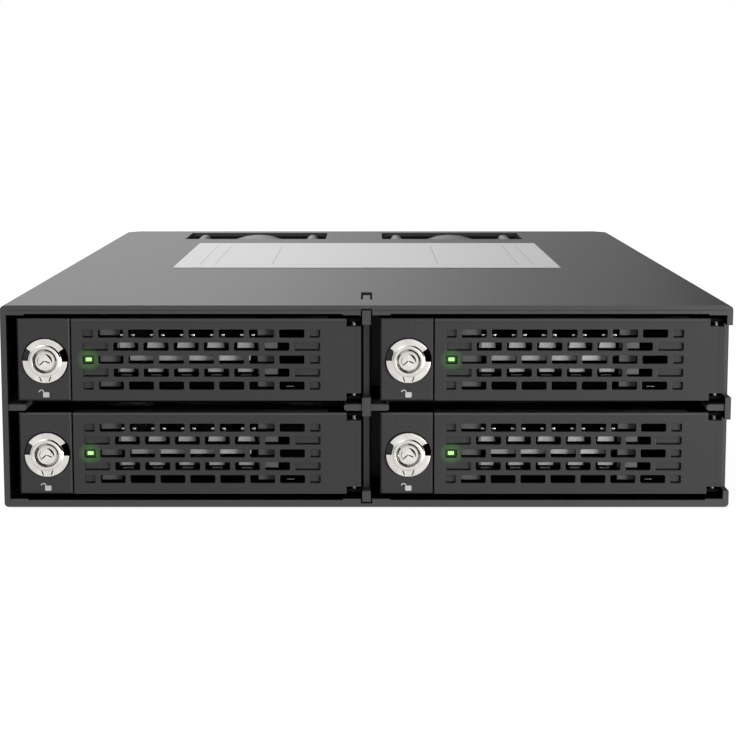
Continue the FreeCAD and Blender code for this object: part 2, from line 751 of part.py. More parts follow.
def fan_rotor(x):
    """Cup hub, open at the rear for the motor, with pitched blades round it."""
    d0, d1 = FAN_D + 5 * AIR, FAN_BACK - SEAT_T - 3 * AIR
    cup = bar_d(x, FAN_Z, HUB_R, d0, d1, 16).cut(bar_d(x, FAN_Z, HUB_R - 1, d0 + 1.5, d1 + 1, 16))
    sleeve = bar_d(x, FAN_Z, SLEEVE_R, d0 + 1, d1 - 3, 8)
    hub = cup.fuse(sleeve).cut(bar_d(x, FAN_Z, SHAFT_R + 1.5 * RUN, d0 + 2.5, d1, 8, True))
    blades = []
    for k in range(BLADES):
        corner = V(HUB_R - 1, -BLADE_CHORD / 2, -BLADE_T / 2)
        blade = Part.makeBox(BLADE_R - HUB_R + 0.6, BLADE_CHORD, BLADE_T, corner)
        blade.rotate(V(0, 0, 0), V(1, 0, 0), BLADE_PITCH)
        blade.rotate(V(0, 0, 0), V(0, 1, 0), 360.0 / BLADES * k)
        blade.translate(V(x, FRONT + (d0 + d1) / 2, FAN_Z))
        blades.append(blade)
    return hub.fuse(blades)


def fan_screws():
    """Self-tapping screws through the rear panel into the corners of both fans."""
    screws = []
    for x in FAN_X:
        for dx, dz in corners(FAN_HOLE_PITCH / 2):
            head = bar_d(x + dx, FAN_Z + dz, SCREW_HEAD_R, PANEL_BACK, PANEL_BACK + SCREW_HEAD_T, 10)
            shank = bar_d(x + dx, FAN_Z + dz, FAN_HOLE_R - RUN, PANEL_BACK - SCREW_L, PANEL_BACK + RUN, 6)
            screws.append(head.fuse(shank))
    return Part.makeCompound(screws)


# ---------------------------------------------------------------- tray pieces, in the tray's own frame


def tray_front():
    """Block with the lock on the left and the hinge on the right, joined by an open rear wall."""
    lock_block = box(0, BLOCK_W, 0, BLOCK_D, 0, TRAY_H)
    lock_block = lock_block.makeChamfer(EDGE, [e for e in lock_block.Edges if e.BoundBox.YMax < EDGE / 2])
    right = TRAY_W - RUN
    low, high = FLOOR_LIFT + RUN, TRAY_H - FLOOR_LIFT
    wall = box(BLOCK_W - 1, right, BLOCK_D - WALL_T, BLOCK_D, low, high)
    pillar = box(right - PILLAR_W, right, PILLAR_Y, BLOCK_D, low, high)
    lug_x, lug_top = KNUCKLE_X + 2 * RUN, TRAY_H - EDGE / 2
    lugs = [box(lug_x, right, PILLAR_Y, BLOCK_D, EDGE / 2, lug_top)]
    for z0 in (EDGE / 2, lug_top - LUG_T):
        lugs.append(box(lug_x, right, LUG_FRONT, PILLAR_Y + RUN, z0, z0 + LUG_T))
    last_post = GRILLE_END - POST_FROM_END
    post_y = (GUARD_Y, BLOCK_D - 1)
    posts = [box(x, x + POST_W, *post_y, SHEET, TRAY_H - SHEET) for x in (GRILLE_X, last_post)]
    span = (GRILLE_X + POST_W - 1, last_post + 1)
    rib_y = (GUARD_Y + 2 * AIR, GUARD_Y + 2 * AIR + RIB_T)
    middles = [ROW_MID + k * ROW_PITCH for k in (-1, 0, 1)]
    ribs = [box(*span, *rib_y, z - AIR, z + RIB_T - AIR) for z in middles]
    pipe_half = PIPE_W / 2 + 2 * RUN
    arm_top = ARM_Z + ARM_H + RUN
    tools = [
        bar_y(LOCK_X, LOCK_Z, DISC_R + 1.5 * RUN, -1, DISC_T + PRESS + 4 * RUN, 20, True),
        bar_y(LOCK_X, LOCK_Z, BARREL_R + RUN, 1, CAVITY_Y + 1, 12, True),
        box(LOCK_X - DISC_R - AIR, LOCK_X + DISC_R - AIR, CAVITY_Y, BLOCK_D + 1, LOCK_Z - 3.5, arm_top),
        box(LOCK_X + 0.9, BLOCK_W + 1, TOOTH_Y - 2 * RUN, BLOCK_D + 1, ARM_Z - RUN, arm_top),
        box(PIPE_X - pipe_half, PIPE_X + pipe_half, BLOCK_D - 3, BLOCK_D + 1, ROW_MID - 1.1, ROW_MID + 1.1),
        flat_sided("z", V(PIVOT_X, PIVOT_Y, 0), PIN_R + RUN / 10, TRAY_H, 12, True),
    ]
    tools += air_windows(BLOCK_D - WALL_T - 1, BLOCK_D + 1)
    return join([lock_block, wall, pillar] + lugs + posts + ribs).cut(tools)


def air_windows(y0, y1):
    """Windows in the front block's rear wall, which the tray's front wall repeats."""
    tools = []
    for x0, x1 in ((GRILLE_X + 4.7, GRILLE_END - 10.6), (GRILLE_END - 4.5, TRAY_W - PILLAR_W - 0.8)):
        for z0 in (2.0, ROW_MID + 1.0):
            tools.append(box(x0, x1, y0, y1, z0, z0 + 5.4))
    return tools


def tray_frame():
    """Sheet tray: floor, two low side rails and a wall behind the front block."""
    x0, x1 = -LEFT_MARGIN, TRAY_W + RIGHT_MARGIN
    z0 = FLOOR_LIFT
    floor = box(x0, x1, BLOCK_D, FLOOR_END, z0, z0 + FLOOR_T)
    rails = [box(x, x + RAIL_T, BLOCK_D, RAIL_END, z0, z0 + RAIL_H) for x in (x0, x1 - RAIL_T)]
    wall = box(x0, x1, BLOCK_D, BLOCK_D + FLOOR_T, z0, TRAY_H - 1)
    half = PIPE_W / 2 + 3 * RUN
    tools = [box(PIPE_X - half, PIPE_X + half, BLOCK_D - 1, BLOCK_D + PIPE_GAP + PIPE_T, -1, ROW_MID + 1.2)]
    tools += air_windows(BLOCK_D - 1, BLOCK_D + 1)
    for x in FLOOR_SLOT_X:
        slot_y = DRIVE_Y + FLOOR_SLOT_BACK
        tools.append(box(x, x + FLOOR_SLOT_W, slot_y, slot_y + FLOOR_SLOT_L, z0 - 1, z0 + FLOOR_T + 1))
    for y in DRIVE_HOLE_Y:
        for x in (x0, x1):
            base = V(x - 2, DRIVE_Y + y, z0 + FLOOR_T + DRIVE_HOLE_RISE)
            tools.append(flat_sided("x", base, DRIVE_HOLE_R, 4, 10, True))
    return join([floor, wall] + rails).cut(tools)


def grille(open_to, blind_to):
    """Cutters for the staggered grille: open slots, and a blind recess at each end of a row."""
    tools = []
    web = SLOT_PITCH - SLOT_W
    left, right = GRILLE_X - GRILLE_MARGIN, GRILLE_END + GRILLE_MARGIN
    for row in range(ROWS):
        z = ROW_MID + ((ROWS - 1) / 2 - row) * ROW_PITCH
        z0, z1 = z - SLOT_H / 2, z + SLOT_H / 2
        start = GRILLE_X + (row % 2) * SLOT_PITCH / 2
        count = int((GRILLE_END - start + web) // SLOT_PITCH)
        for k in range(count):
            x = start + k * SLOT_PITCH
            tools.append(box(x, x + SLOT_W, -1, open_to, z0, z1))
        if row == ROWS // 2:
            lamp = (PIPE_X - LED_W / 2, PIPE_X + LED_W / 2)
            tools.append(box(*lamp, -1, open_to, z - LED_H / 2, z + LED_H / 2))
        else:
            tools.append(box(left, start - web, -1, blind_to, z0, z1))
        tools.append(box(start + count * SLOT_PITCH, right, -1, blind_to, z0, z1))
    return tools


def tray_handle():
    """Lever: perforated plate with folded hems, a hinge knuckle on the right and a catch tab on the left."""
    x0 = BLOCK_W + HANDLE_GAP
    hem_end = KNUCKLE_X - 3.8
    plate = box(x0, TRAY_W, 0, HANDLE_T, 0, TRAY_H)
    hems = [box(x0, hem_end, EDGE, HEM_D, z, z + HEM_T) for z in (0, TRAY_H - HEM_T)]
    knuckle = box(KNUCKLE_X, TRAY_W, 0, KNUCKLE_D, NOTCH_LOW, TRAY_H - NOTCH_TOP)
    tab = box(TAB_X, TAB_X + TAB_T, HANDLE_T / 2, HEM_D + RUN, ARM_Z - 2 * AIR, TRAY_H - HEM_T / 2)
    tooth_y = (TOOTH_Y - RUN, TOOTH_Y + TOOTH_T + RUN)
    tools = [
        box(KNUCKLE_X, TRAY_W + 1, -1, KNUCKLE_D + 1, -1, NOTCH_LOW),
        box(KNUCKLE_X, TRAY_W + 1, -1, KNUCKLE_D + 1, TRAY_H - NOTCH_TOP, TRAY_H + 1),
        Part.makeCylinder(PIN_R + RUN / 2, TRAY_H + 2, V(PIVOT_X, PIVOT_Y, -1), V(0, 0, 1)),
        box(TAB_X - 1, TAB_X + TAB_T + 1, *tooth_y, ARM_Z - RUN, ARM_Z + ARM_H + RUN),
    ]
    body = join([plate, knuckle, tab] + hems).cut(tools)
    body = body.makeFillet(KNUCKLE_ROUND, edges_along(body, 2, lambda c: abs(c.x - TRAY_W) < 0.01))
    rims = edges_along(body, 0, lambda c: c.y < SEAM)
    body = body.makeChamfer(0.9 * EDGE, [e for e in rims if e.Length > TRAY_W / 2])
    return body.cut(grille(HANDLE_T + RUN, BLIND_D))


def hinge_pin():
    return Part.makeCylinder(PIN_R, TRAY_H - 2 * EDGE, V(PIVOT_X, PIVOT_Y, EDGE), V(0, 0, 1))


def face_on(shape):
    """Turn a lock piece built round +Z, seen face on, to face the front of the tray."""
    shape.rotate(V(0, 0, 0), V(1, 0, 0), 90)
    shape.translate(V(LOCK_X, 0, LOCK_Z))
    return shape


def lock_bar(r, z0, z1, sides, hole=False):
    """A flat-sided bar on the lock's own axis, seen face on."""
    return flat_sided("z", V(0, 0, z0), r, z1 - z0, sides, hole)


def curved_pocket(r0, r1, middle, sweep, bottom):
    """A curved pocket between two radii, round a middle bearing in degrees."""
    steps = 3
    outer, inner = [], []
    for k in range(steps + 1):
        a = math.radians(middle - sweep / 2 + sweep * k / steps)
        outer.append((r1 * math.cos(a), r1 * math.sin(a)))
        inner.append((r0 * math.cos(a), r0 * math.sin(a)))
    return prism(outer + inner[::-1], bottom, COLLAR_PROUD + 1)


def lock_button():
    """Push disc with a raised collar, its guide barrel and the wedge that drives the latch."""
    disc = lock_bar(DISC_R, -DISC_T, DISC_PROUD, 20)
    collar = lock_bar(COLLAR_R, 0, COLLAR_PROUD, 16)
    barrel = lock_bar(BARREL_R, -BARREL_L, -DISC_T / 2, 12)
    a, b = NOSE_X
    outline = [(a, -BARREL_L + 0.5), (b, -BARREL_L + 0.5), (b, -BARREL_L - b), (a, -BARREL_L - a)]
    points = [V(x, -NOSE_H / 2, z) for x, z in outline + outline[:1]]
    nose = Part.Face(Part.makePolygon(points)).extrude(V(0, NOSE_H, 0))
    tools = [lock_bar(DIAL_R + RUN, -DIAL_L - RUN, COLLAR_PROUD + 1, 12, True)]
    seat = V(-SPRING_IN, 0, -BARREL_L - 1)
    tools.append(flat_sided("z", seat, SPRING_R + 1.5 * RUN, 1 + PRESS + 3 * RUN, 8, True))
    for bearing in CUT_BEARINGS:
        tools.append(curved_pocket(COLLAR_R + RUN, DISC_R + 1, bearing, CUT_SWEEP, -DISC_T - 1))
    return face_on(join([disc, collar, barrel, nose]).cut(tools))


def lock_dial():
    """Key barrel with a crescent keyway."""
    dial = lock_bar(DIAL_R, -DIAL_L, DIAL_PROUD, 12)
    keyway = curved_pocket(0.3 * DIAL_R, 0.62 * DIAL_R, 90, KEYWAY_SWEEP, DIAL_PROUD - 2)
    keyway.translate(V(0, -0.12 * DIAL_R, 0))
    return face_on(dial.cut(keyway))


def lock_latch():
    """Slide behind the lock: wedge follower, two arms round the spring and a tooth towards the handle."""
    face_y = CAVITY_Y + RUN
    wedge = BARREL_L + 1.5 * RUN
    right = NOSE_X[1] - SEAM
    left = NOSE_X[0] - 1.5 * RUN
    plate_y = LATCH_END - 2.1
    slope = [(left, face_y), (face_y - wedge, face_y), (right, right + wedge)]
    outline = slope + [(right, LATCH_END), (left, LATCH_END)]
    follower = prism([(LOCK_X + x, y) for x, y in outline], LOCK_Z - NOSE_H / 2, LOCK_Z + NOSE_H / 2)
    bar = box(LOCK_X + left, LOCK_X + right, plate_y, LATCH_END, LOCK_Z - 3.4, ARM_Z + ARM_H)
    arms = []
    for side in (-1, 1):
        z = LOCK_Z + side * (SPRING_R + 1.25)
        arms.append(box(LOCK_X - 3.0, LOCK_X + left + 0.1, plate_y, LATCH_END, z - 0.85, z + 0.85))
    reach = box(LOCK_X + right - 0.6, LOCK_X + right - 0.6 + ARM_W, TOOTH_Y, LATCH_END, ARM_Z, ARM_Z + ARM_H)
    tooth = box(LOCK_X + right, TAB_X - TOOTH_SHORT, TOOTH_Y, TOOTH_Y + TOOTH_T, ARM_Z, ARM_Z + ARM_H)
    return join([follower, bar, reach, tooth] + arms)


def lock_spring():
    """Return spring of the button, drawn as a sleeve at its pressed length."""
    start = BARREL_L - 1.5 * RUN
    sleeve = bar_y(LOCK_X - SPRING_IN, LOCK_Z, SPRING_R, start, BLOCK_D - SEAM, 8)
    return sleeve.cut(bar_y(LOCK_X - SPRING_IN, LOCK_Z, SPRING_R - SPRING_WALL, start - 1, BLOCK_D + 1, 8))


def light_pipe():
    """Clear rod from the window in the handle, down behind the front wall and back under the floor."""
    x0, x1 = PIPE_X - PIPE_W / 2, PIPE_X + PIPE_W / 2
    top, floor = ROW_MID + LED_H / 2 - 1.5 * RUN, FLOOR_LIFT - RUN
    drop_y = BLOCK_D + FLOOR_T + RUN
    head = box(x0, x1, PIPE_TIP, drop_y + 1, 2 * ROW_MID - top, top)
    drop = box(x0, x1, drop_y, drop_y + 1, floor - PIPE_T, top)
    tail = box(x0, x1, drop_y, BOARD_D - FACE_IN - LAMP[1] - RUN, floor - PIPE_T, floor)
    return join([head, drop, tail])


# ---------------------------------------------------------------- all the nodes

FIXED_PIECES = {
    "outer_shell": outer_shell,
    "base_plate": base_plate,
    "center_divider": center_divider,
    "mid_shelf": mid_shelf,
    "rear_panel": rear_panel,
    "panel_screws": panel_screws,
    "blank_label": blank_label,
    "backplane_board": backplane_board,
    "status_leds": status_leds,
    "link_board": link_board,
    "port_board": port_board,
    "fan_screws": fan_screws,
}

TRAY_PIECES = {
    "frame": tray_frame,
    "front": tray_front,
    "handle": tray_handle,
    "hinge_pin": hinge_pin,
    "lock_button": lock_button,
    "lock_dial": lock_dial,
    "lock_latch": lock_latch,
    "lock_spring": lock_spring,
    "light_pipe": light_pipe,
}

for name, make in FIXED_PIECES.items():
    save(name, make())

for number in range(1, 5):
    save("drive_connector_%d" % number, drive_connector(number - 1))

for number in (1, 2):
    save("power_port_%d" % number, port(number - 1, 1))
    save("data_ports_%d" % number, port(number + 1, 2))

for side, x in zip(("left", "right"), FAN_X):
    save("fan_%s_frame" % side, fan_frame(x))
    save("fan_%s_rotor" % side, fan_rotor(x))

for piece, make in TRAY_PIECES.items():
    shape = make()
    for bay in range(4):
        placed = shape.copy()
        placed.translate(V(BAY_X[bay % 2], FRONT + FACE_IN, BAY_Z[bay // 2]))
        save("tray_%d_%s" % (bay + 1, piece), placed)
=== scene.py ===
"""Hot swap drive cage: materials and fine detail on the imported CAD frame."""
import json
import math

import bmesh
import bpy
from mathutils import Matrix, Vector


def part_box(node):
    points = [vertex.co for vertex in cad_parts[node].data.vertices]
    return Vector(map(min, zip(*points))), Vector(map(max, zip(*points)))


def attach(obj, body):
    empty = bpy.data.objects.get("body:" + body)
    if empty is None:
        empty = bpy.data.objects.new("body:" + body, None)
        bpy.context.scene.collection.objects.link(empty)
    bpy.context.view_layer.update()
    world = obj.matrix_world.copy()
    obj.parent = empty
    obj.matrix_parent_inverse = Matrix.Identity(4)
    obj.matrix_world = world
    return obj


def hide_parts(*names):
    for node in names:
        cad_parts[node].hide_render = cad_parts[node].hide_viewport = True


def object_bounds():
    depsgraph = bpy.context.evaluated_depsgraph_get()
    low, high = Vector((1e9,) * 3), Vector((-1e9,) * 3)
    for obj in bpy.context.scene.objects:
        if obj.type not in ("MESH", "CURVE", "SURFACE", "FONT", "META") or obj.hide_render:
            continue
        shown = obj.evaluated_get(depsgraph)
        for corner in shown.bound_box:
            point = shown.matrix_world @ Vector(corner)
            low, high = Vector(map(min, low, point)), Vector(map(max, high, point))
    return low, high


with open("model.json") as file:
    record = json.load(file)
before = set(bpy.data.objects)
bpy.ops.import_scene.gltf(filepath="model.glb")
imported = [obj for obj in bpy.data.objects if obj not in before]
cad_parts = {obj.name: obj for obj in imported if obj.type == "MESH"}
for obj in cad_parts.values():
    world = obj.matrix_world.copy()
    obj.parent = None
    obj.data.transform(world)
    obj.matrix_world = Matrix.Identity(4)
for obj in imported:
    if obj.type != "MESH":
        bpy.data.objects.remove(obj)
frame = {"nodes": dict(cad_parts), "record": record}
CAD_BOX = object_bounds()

MM = 0.001
scene = bpy.context.scene
scene.view_settings.view_transform = "Standard"


def box_mm(node):
    """The two corners of a CAD node's box, in millimetres."""
    return [Vector(corner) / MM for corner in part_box(node)]


# Sizes are in millimetres, except on the stage. The cage stands in the frame's own coordinates.
CAGE_LO, CAGE_HI = box_mm("outer_shell")
FRONT = CAGE_LO.y
HEIGHT = CAGE_HI.z
SHEET = 1.0
FAR = 1000.0  # further off than any piece reaches

# a tray, drawn from the lower left corner of its front
TRAYS = range(1, 5)
TRAY_H = 16.6
HANDLE_X = (10.85, 68.7)
PLATE_T = 1.2
CELL_DEPTH = 0.5
LINE_DEPTH = 0.9  # of the dark slot at a blind cell's lower edge
PLATE_END = 67.7
HEM_END = 62.0
HEM_H = 0.9
NOTCH = (65.8, 1.5, 15.0)  # where the plate narrows, and the heights that it keeps from there on

# the grille: rows of slots from the top down, every second row set half a pitch aside
ROWS = range(5)
LAMP_ROW = 2
LAMP_X = 14.2
LAMP_WINDOW = (1.15, 0.85)  # half its width and half its height
ROW_MID = TRAY_H / 2
ROW_PITCH = 2.634
SLOT = (5.05, 1.66)
SLOT_PITCH = 6.03
WEB = SLOT_PITCH - SLOT[0]
GRILLE = (16.16, 57.5)
BLIND = (13.05, 60.55)


def row_z(row):
    """The middle height of a row."""
    return ROW_MID + (LAMP_ROW - row) * ROW_PITCH


# the guard behind the grille
POSTS = (16.3, 47.95)
POST_W = 4.0
GUARD_Y = (1.6, 2.6)
BLOCK_LOW = (0.55, 0.6, 0.68, 0.6, 0.45)  # how far a block reaches below the middle of each row
BLOCK_HIGH = 1.0
FINGERS = 5

# the lock: the flange's cut-outs have a bearing, a sweep and an end along Y
LOCK = (5.6, 8.1)
CUT_OUTS = ((162, 34, 0.1), (16, 36, 1.3))

# fans, rear panel and cover
SIDES = ("left", "right")
FAN = 40.0
DUCT_R = 19.0
FLANGE_T = 3.2
HOLE_AT = 16.0
BOSS_HOLE_R = 1.75
HUB_R = 10.2
BLADE_R = 18.2
BLADES = 7
BLADE_T = 0.9
GUARD_RINGS = ((6.5, 11.6), (13.2, 18.6))
SPOKE = 2.0
VENTS = 6
VENT_PITCH = 5.2
SOCKETS = {"power_port_1": 1, "power_port_2": 1, "data_ports_1": 2, "data_ports_2": 2}
CONTACT_PITCH = 1.27
LINE_W = 0.22

# tones, roughness and gloss of the surfaces
# painted shade: the near black that stands for shade in gaps, recesses and slot walls
PAINTED_SHADE_BLACK = (0.0025, 0.0025, 0.0025)
COAT_GREY = (0.040, 0.040, 0.041)
# painted highlight on the eased top edges of the lock panels and the levers
EDGE_HIGHLIGHT_GREY = (0.075, 0.075, 0.076)
# painted shade in the lock's grooves
GROOVE_SHADE_GREY = (0.03, 0.03, 0.03)
GUARD_GREY = (0.46, 0.46, 0.46)
POST_GREY = (0.17, 0.17, 0.17)
LINE_GREY = (0.62, 0.62, 0.63)
NICKEL = (0.73, 0.71, 0.67)
# painted glow: green light that the lever's own paint gives off round the lamp
HALO_GREEN = (0.14, 1.0, 0.0)
HALO_GLOW = 0.085
HALO_FROM = 1.1
HALO_TO = 2.5
COAT_ROUGH = 0.46
FRONT_GLOSS = 0.26


# ---------------------------------------------------------------- material nodes


def new_material(name):
    """A new material and its node tree."""
    material = bpy.data.materials.new(name)
    material.use_nodes = True
    return material, material.node_tree


def surface_of(tree):
    """The sockets of the surface node."""
    return tree.nodes["Principled BSDF"].inputs


def feed(tree, value, socket):
    """Links an output into a socket, or sets the socket to a plain value or colour."""
    if isinstance(value, bpy.types.NodeSocket):
        tree.links.new(value, socket)
    elif socket.type == "RGBA":
        socket.default_value = (*value, 1)
    else:
        socket.default_value = value


def maths(tree, operation, *values, kind="Math", result="Value"):
    """What a Math or Vector Math node gives for some outputs, numbers or vectors."""
    node = tree.nodes.new("ShaderNode" + kind)
    node.operation = operation
    for value, socket in zip(values, node.inputs):
        feed(tree, value, socket)
    return node.outputs[result]


def object_coords(tree):
    """Places in the object's own metres."""
    return tree.nodes.new("ShaderNodeTexCoord").outputs["Object"]


def noise(tree, coords, size_mm, detail=3.0):
    """Soft noise with specks of about the given size."""
    n = tree.nodes.new("ShaderNodeTexNoise")
    n.inputs["Scale"].default_value = 1.0 / (size_mm * MM)
    n.inputs["Detail"].default_value = detail
    feed(tree, coords, n.inputs["Vector"])
    return n.outputs["Fac"]


def ramp(tree, value, low, high, out_low, out_high):
    """A value spread from one range to another, and held at its ends."""
    r = tree.nodes.new("ShaderNodeMapRange")
    for name, end in (("From Min", low), ("From Max", high), ("To Min", out_low), ("To Max", out_high)):
        r.inputs[name].default_value = end
    feed(tree, value, r.inputs["Value"])
    return r.outputs["Result"]


def mix_color(tree, factor, a, b):
    """Colour a where the factor is 0, and b where it is 1."""
    m = tree.nodes.new("ShaderNodeMix")
    m.data_type = "RGBA"
    feed(tree, a, m.inputs["A"])
    feed(tree, b, m.inputs["B"])
    feed(tree, factor, m.inputs["Factor"])
    return m.outputs["Result"]


def shade(color, factor):
    """A colour made darker or lighter."""
    return tuple(c * factor for c in color)


def dress(tree, tone, rough, height, depth_mm):
    """Feeds the surface with its tone, its roughness and a bump of the given depth."""
    surface = surface_of(tree)
    feed(tree, tone, surface["Base Color"])
    feed(tree, rough, surface["Roughness"])
    b = tree.nodes.new("ShaderNodeBump")
    b.inputs["Strength"].default_value = 1.0
    b.inputs["Distance"].default_value = depth_mm * MM
    feed(tree, height, b.inputs["Height"])
    feed(tree, b.outputs["Normal"], surface["Normal"])


def zone(x0, x1, y0, y1, z0, z1):
    """The two corners, in metres, of a box given in millimetres."""
    return (x0 * MM, y0 * MM, z0 * MM), (x1 * MM, y1 * MM, z1 * MM)


def inside(tree, coords, corners):
    """1 where a point lies in a box, and 0 elsewhere."""
    parts = tree.nodes.new("ShaderNodeSeparateXYZ")
    feed(tree, coords, parts.inputs["Vector"])
    total = None
    for axis, a, b in zip("XYZ", *corners):
        near = maths(tree, "COMPARE", parts.outputs[axis], (a + b) / 2, (b - a) / 2)
        total = near if total is None else maths(tree, "MULTIPLY", total, near)
    return total


def paint_shade_and_highlight(material, zones, color=PAINTED_SHADE_BLACK, gloss=0.05):
    """Painted shade and highlight in the given boxes, by default a near-black shade. The first call sets
    the gloss.
    """
    tree = material.node_tree
    surface = surface_of(tree)
    coords = object_coords(tree)
    total = None
    for corners in zones:
        here = inside(tree, coords, corners)
        total = here if total is None else maths(tree, "MAXIMUM", total, here)
    paint = surface["Base Color"].links[0].from_socket
    feed(tree, mix_color(tree, total, paint, color), surface["Base Color"])
    level = surface["Specular IOR Level"]
    if not level.is_linked:
        feed(tree, ramp(tree, total, 0.0, 1.0, level.default_value, gloss), level)
    return material


def behind(depth):
    """Everything further back than a depth behind the front plane."""
    return zone(-FAR, FAR, FRONT + depth, FAR, -FAR, FAR)


def cage_inside():
    """The space inside the sheet metal, from just behind the mouth to the rear, where a black shade is
    painted.
    """
    skin = SHEET - 0.03
    lo = CAGE_LO + Vector((skin, 0.3, skin - CAGE_LO.z))
    hi = CAGE_HI + Vector((-skin, 1.0, -skin))
    return zone(lo.x, hi.x, lo.y, hi.y, lo.z, hi.z)


def panel_top_highlights():
    """Where a painted highlight goes: the eased top edge of each lock panel."""
    zones = []
    for n in TRAYS:
        lo, hi = box_mm("tray_%d_front" % n)
        top = lo.z + TRAY_H
        zones.append(zone(lo.x - 1, hi.x + 1, -FAR, FRONT + 0.84, top - 0.36, top + 1))
    return zones


# ---------------------------------------------------------------- materials


def painted(name, color, rough, grain_mm=0.35, depth_mm=0.01, spread=0.10, specular=0.5):
    """Powder coat, moulding or ink: a fine grain in its tone and in its surface."""
    material, tree = new_material(name)
    surface = surface_of(tree)
    fine = noise(tree, object_coords(tree), grain_mm, 2.0)
    share = ramp(tree, fine, 0.3, 0.7, 0.0, 1.0)
    tone = mix_color(tree, share, shade(color, 1 - spread), shade(color, 1 + spread))
    dress(tree, tone, ramp(tree, fine, 0.3, 0.7, rough - 0.03, rough + 0.03), fine, depth_mm)
    surface["Specular IOR Level"].default_value = specular
    return material


def metal(name, color, rough):
    """Metal with a fine grain in its gloss and slow changes of tone."""
    material, tree = new_material(name)
    surface = surface_of(tree)
    coords = object_coords(tree)
    fine = noise(tree, coords, 0.25, 4.0)
    share = ramp(tree, noise(tree, coords, 9.0), 0.35, 0.65, 0.0, 1.0)
    tone = mix_color(tree, share, shade(color, 0.92), shade(color, 1.08))
    dress(tree, tone, ramp(tree, fine, 0.3, 0.7, rough - 0.06, rough + 0.08), fine, 0.004)
    surface["Metallic"].default_value = 1.0
    return material


def turned_metal(name, color, rough):
    """Plated metal with fine rings from turning, round the piece's own Y axis."""
    material, tree = new_material(name)
    surface = surface_of(tree)
    coords = object_coords(tree)
    flat = maths(tree, "MULTIPLY", coords, (1, 0, 1), kind="VectorMath", result="Vector")
    rings = tree.nodes.new("ShaderNodeTexNoise")
    rings.noise_dimensions = "1D"
    rings.inputs["Scale"].default_value = 1.0 / (0.12 * MM)
    rings.inputs["Detail"].default_value = 2.0
    feed(tree, maths(tree, "LENGTH", flat, kind="VectorMath"), rings.inputs["W"])
    ring = rings.outputs["Fac"]
    share = ramp(tree, noise(tree, coords, 2.4, 2.0), 0.35, 0.65, 0.0, 1.0)
    tone = mix_color(tree, share, shade(color, 0.82), color)
    dress(tree, tone, ramp(tree, ring, 0.3, 0.7, rough - 0.05, rough + 0.07), ring, 0.005)
    around = tree.nodes.new("ShaderNodeTangent")
    around.direction_type = "RADIAL"
    around.axis = "Y"
    feed(tree, around.outputs["Tangent"], surface["Tangent"])
    surface["Anisotropic"].default_value = 0.55
    surface["Metallic"].default_value = 1.0
    return material


def lit(name, color, glow, strength):
    """Lit plastic, a little uneven across its face."""
    material, tree = new_material(name)
    surface = surface_of(tree)
    fine = noise(tree, object_coords(tree), 0.6, 2.0)
    feed(tree, mix_color(tree, fine, shade(color, 0.8), color), surface["Base Color"])
    feed(tree, mix_color(tree, fine, shade(glow, 0.85), glow), surface["Emission Color"])
    surface["Emission Strength"].default_value = strength
    surface["Roughness"].default_value = 0.3
    return material


def board_material():
    """Green solder mask over copper runs, which show as straight lighter lines."""
    material, tree = new_material("board_mask")
    coords = object_coords(tree)
    turn = tree.nodes.new("ShaderNodeMapping")
    turn.inputs["Rotation"].default_value = (math.pi / 2, 0, 0)
    feed(tree, coords, turn.inputs["Vector"])
    brick = tree.nodes.new("ShaderNodeTexBrick")
    brick.inputs["Scale"].default_value = 1.0 / (9.0 * MM)
    brick.inputs["Mortar Size"].default_value = 0.03
    feed(tree, (0.006, 0.055, 0.028), brick.inputs["Color1"])
    feed(tree, (0.007, 0.062, 0.03), brick.inputs["Color2"])
    feed(tree, (0.02, 0.12, 0.055), brick.inputs["Mortar"])
    feed(tree, turn.outputs["Vector"], brick.inputs["Vector"])
    rough = ramp(tree, noise(tree, coords, 1.2), 0.3, 0.7, 0.28, 0.4)
    dress(tree, brick.outputs["Color"], rough, brick.outputs["Fac"], 0.02)
    return material


def front_material():
    """Front paint, with a painted black shade further back, and a painted highlight on the lock panel's
    eased top edge.
    """
    material = painted("front_coat", COAT_GREY, COAT_ROUGH, specular=FRONT_GLOSS)
    # painted shade: black further back than the face
    paint_shade_and_highlight(material, [behind(0.85)])
    # painted highlight along each lock panel's top edge
    return paint_shade_and_highlight(material, panel_top_highlights(), EDGE_HIGHLIGHT_GREY)


def handle_material():
    """Front paint, painted black as shade in the walls of the openings, with a painted green glow round the
    lamp.
    """
    material = painted("front_coat_handle", COAT_GREY, COAT_ROUGH, specular=FRONT_GLOSS)
    x0, x1 = BLIND[0] - 0.5, BLIND[1] + 0.5
    z0, z1 = row_z(ROWS[-1]) - SLOT[1], row_z(0) + SLOT[1]
    # painted shade: the walls of the blind recesses and of the openings are painted black
    recesses = zone(x0, x1, 0.08, CELL_DEPTH - 0.02, z0, z1)
    openings = zone(x0, x1, CELL_DEPTH + 0.02, PLATE_T - 0.01, z0, z1)
    paint_shade_and_highlight(material, (recesses, openings))
    # painted highlight: a lighter tone along the lever's eased top edge
    paint_shade_and_highlight(material, [zone(0, FAR, -1, 0.3, TRAY_H - 0.42, FAR)], EDGE_HIGHLIGHT_GREY)
    # painted glow: the lever's paint emits green that fades away from the lamp, and none in its window
    tree = material.node_tree
    coords = object_coords(tree)
    lamp = (LAMP_X * MM, 0.0, ROW_MID * MM)
    away = maths(tree, "DISTANCE", coords, lamp, kind="VectorMath")
    halo = ramp(tree, away, HALO_FROM * MM, HALO_TO * MM, HALO_GLOW, 0.0)
    half_w, half_h = (half + 0.05 for half in LAMP_WINDOW)
    window = zone(LAMP_X - half_w, LAMP_X + half_w, -1, 9, ROW_MID - half_h, ROW_MID + half_h)
    around = ramp(tree, inside(tree, coords, window), 0.0, 1.0, 1.0, 0.0)
    surface = surface_of(tree)
    feed(tree, HALO_GREEN, surface["Emission Color"])
    feed(tree, maths(tree, "MULTIPLY", halo, around), surface["Emission Strength"])
    return material


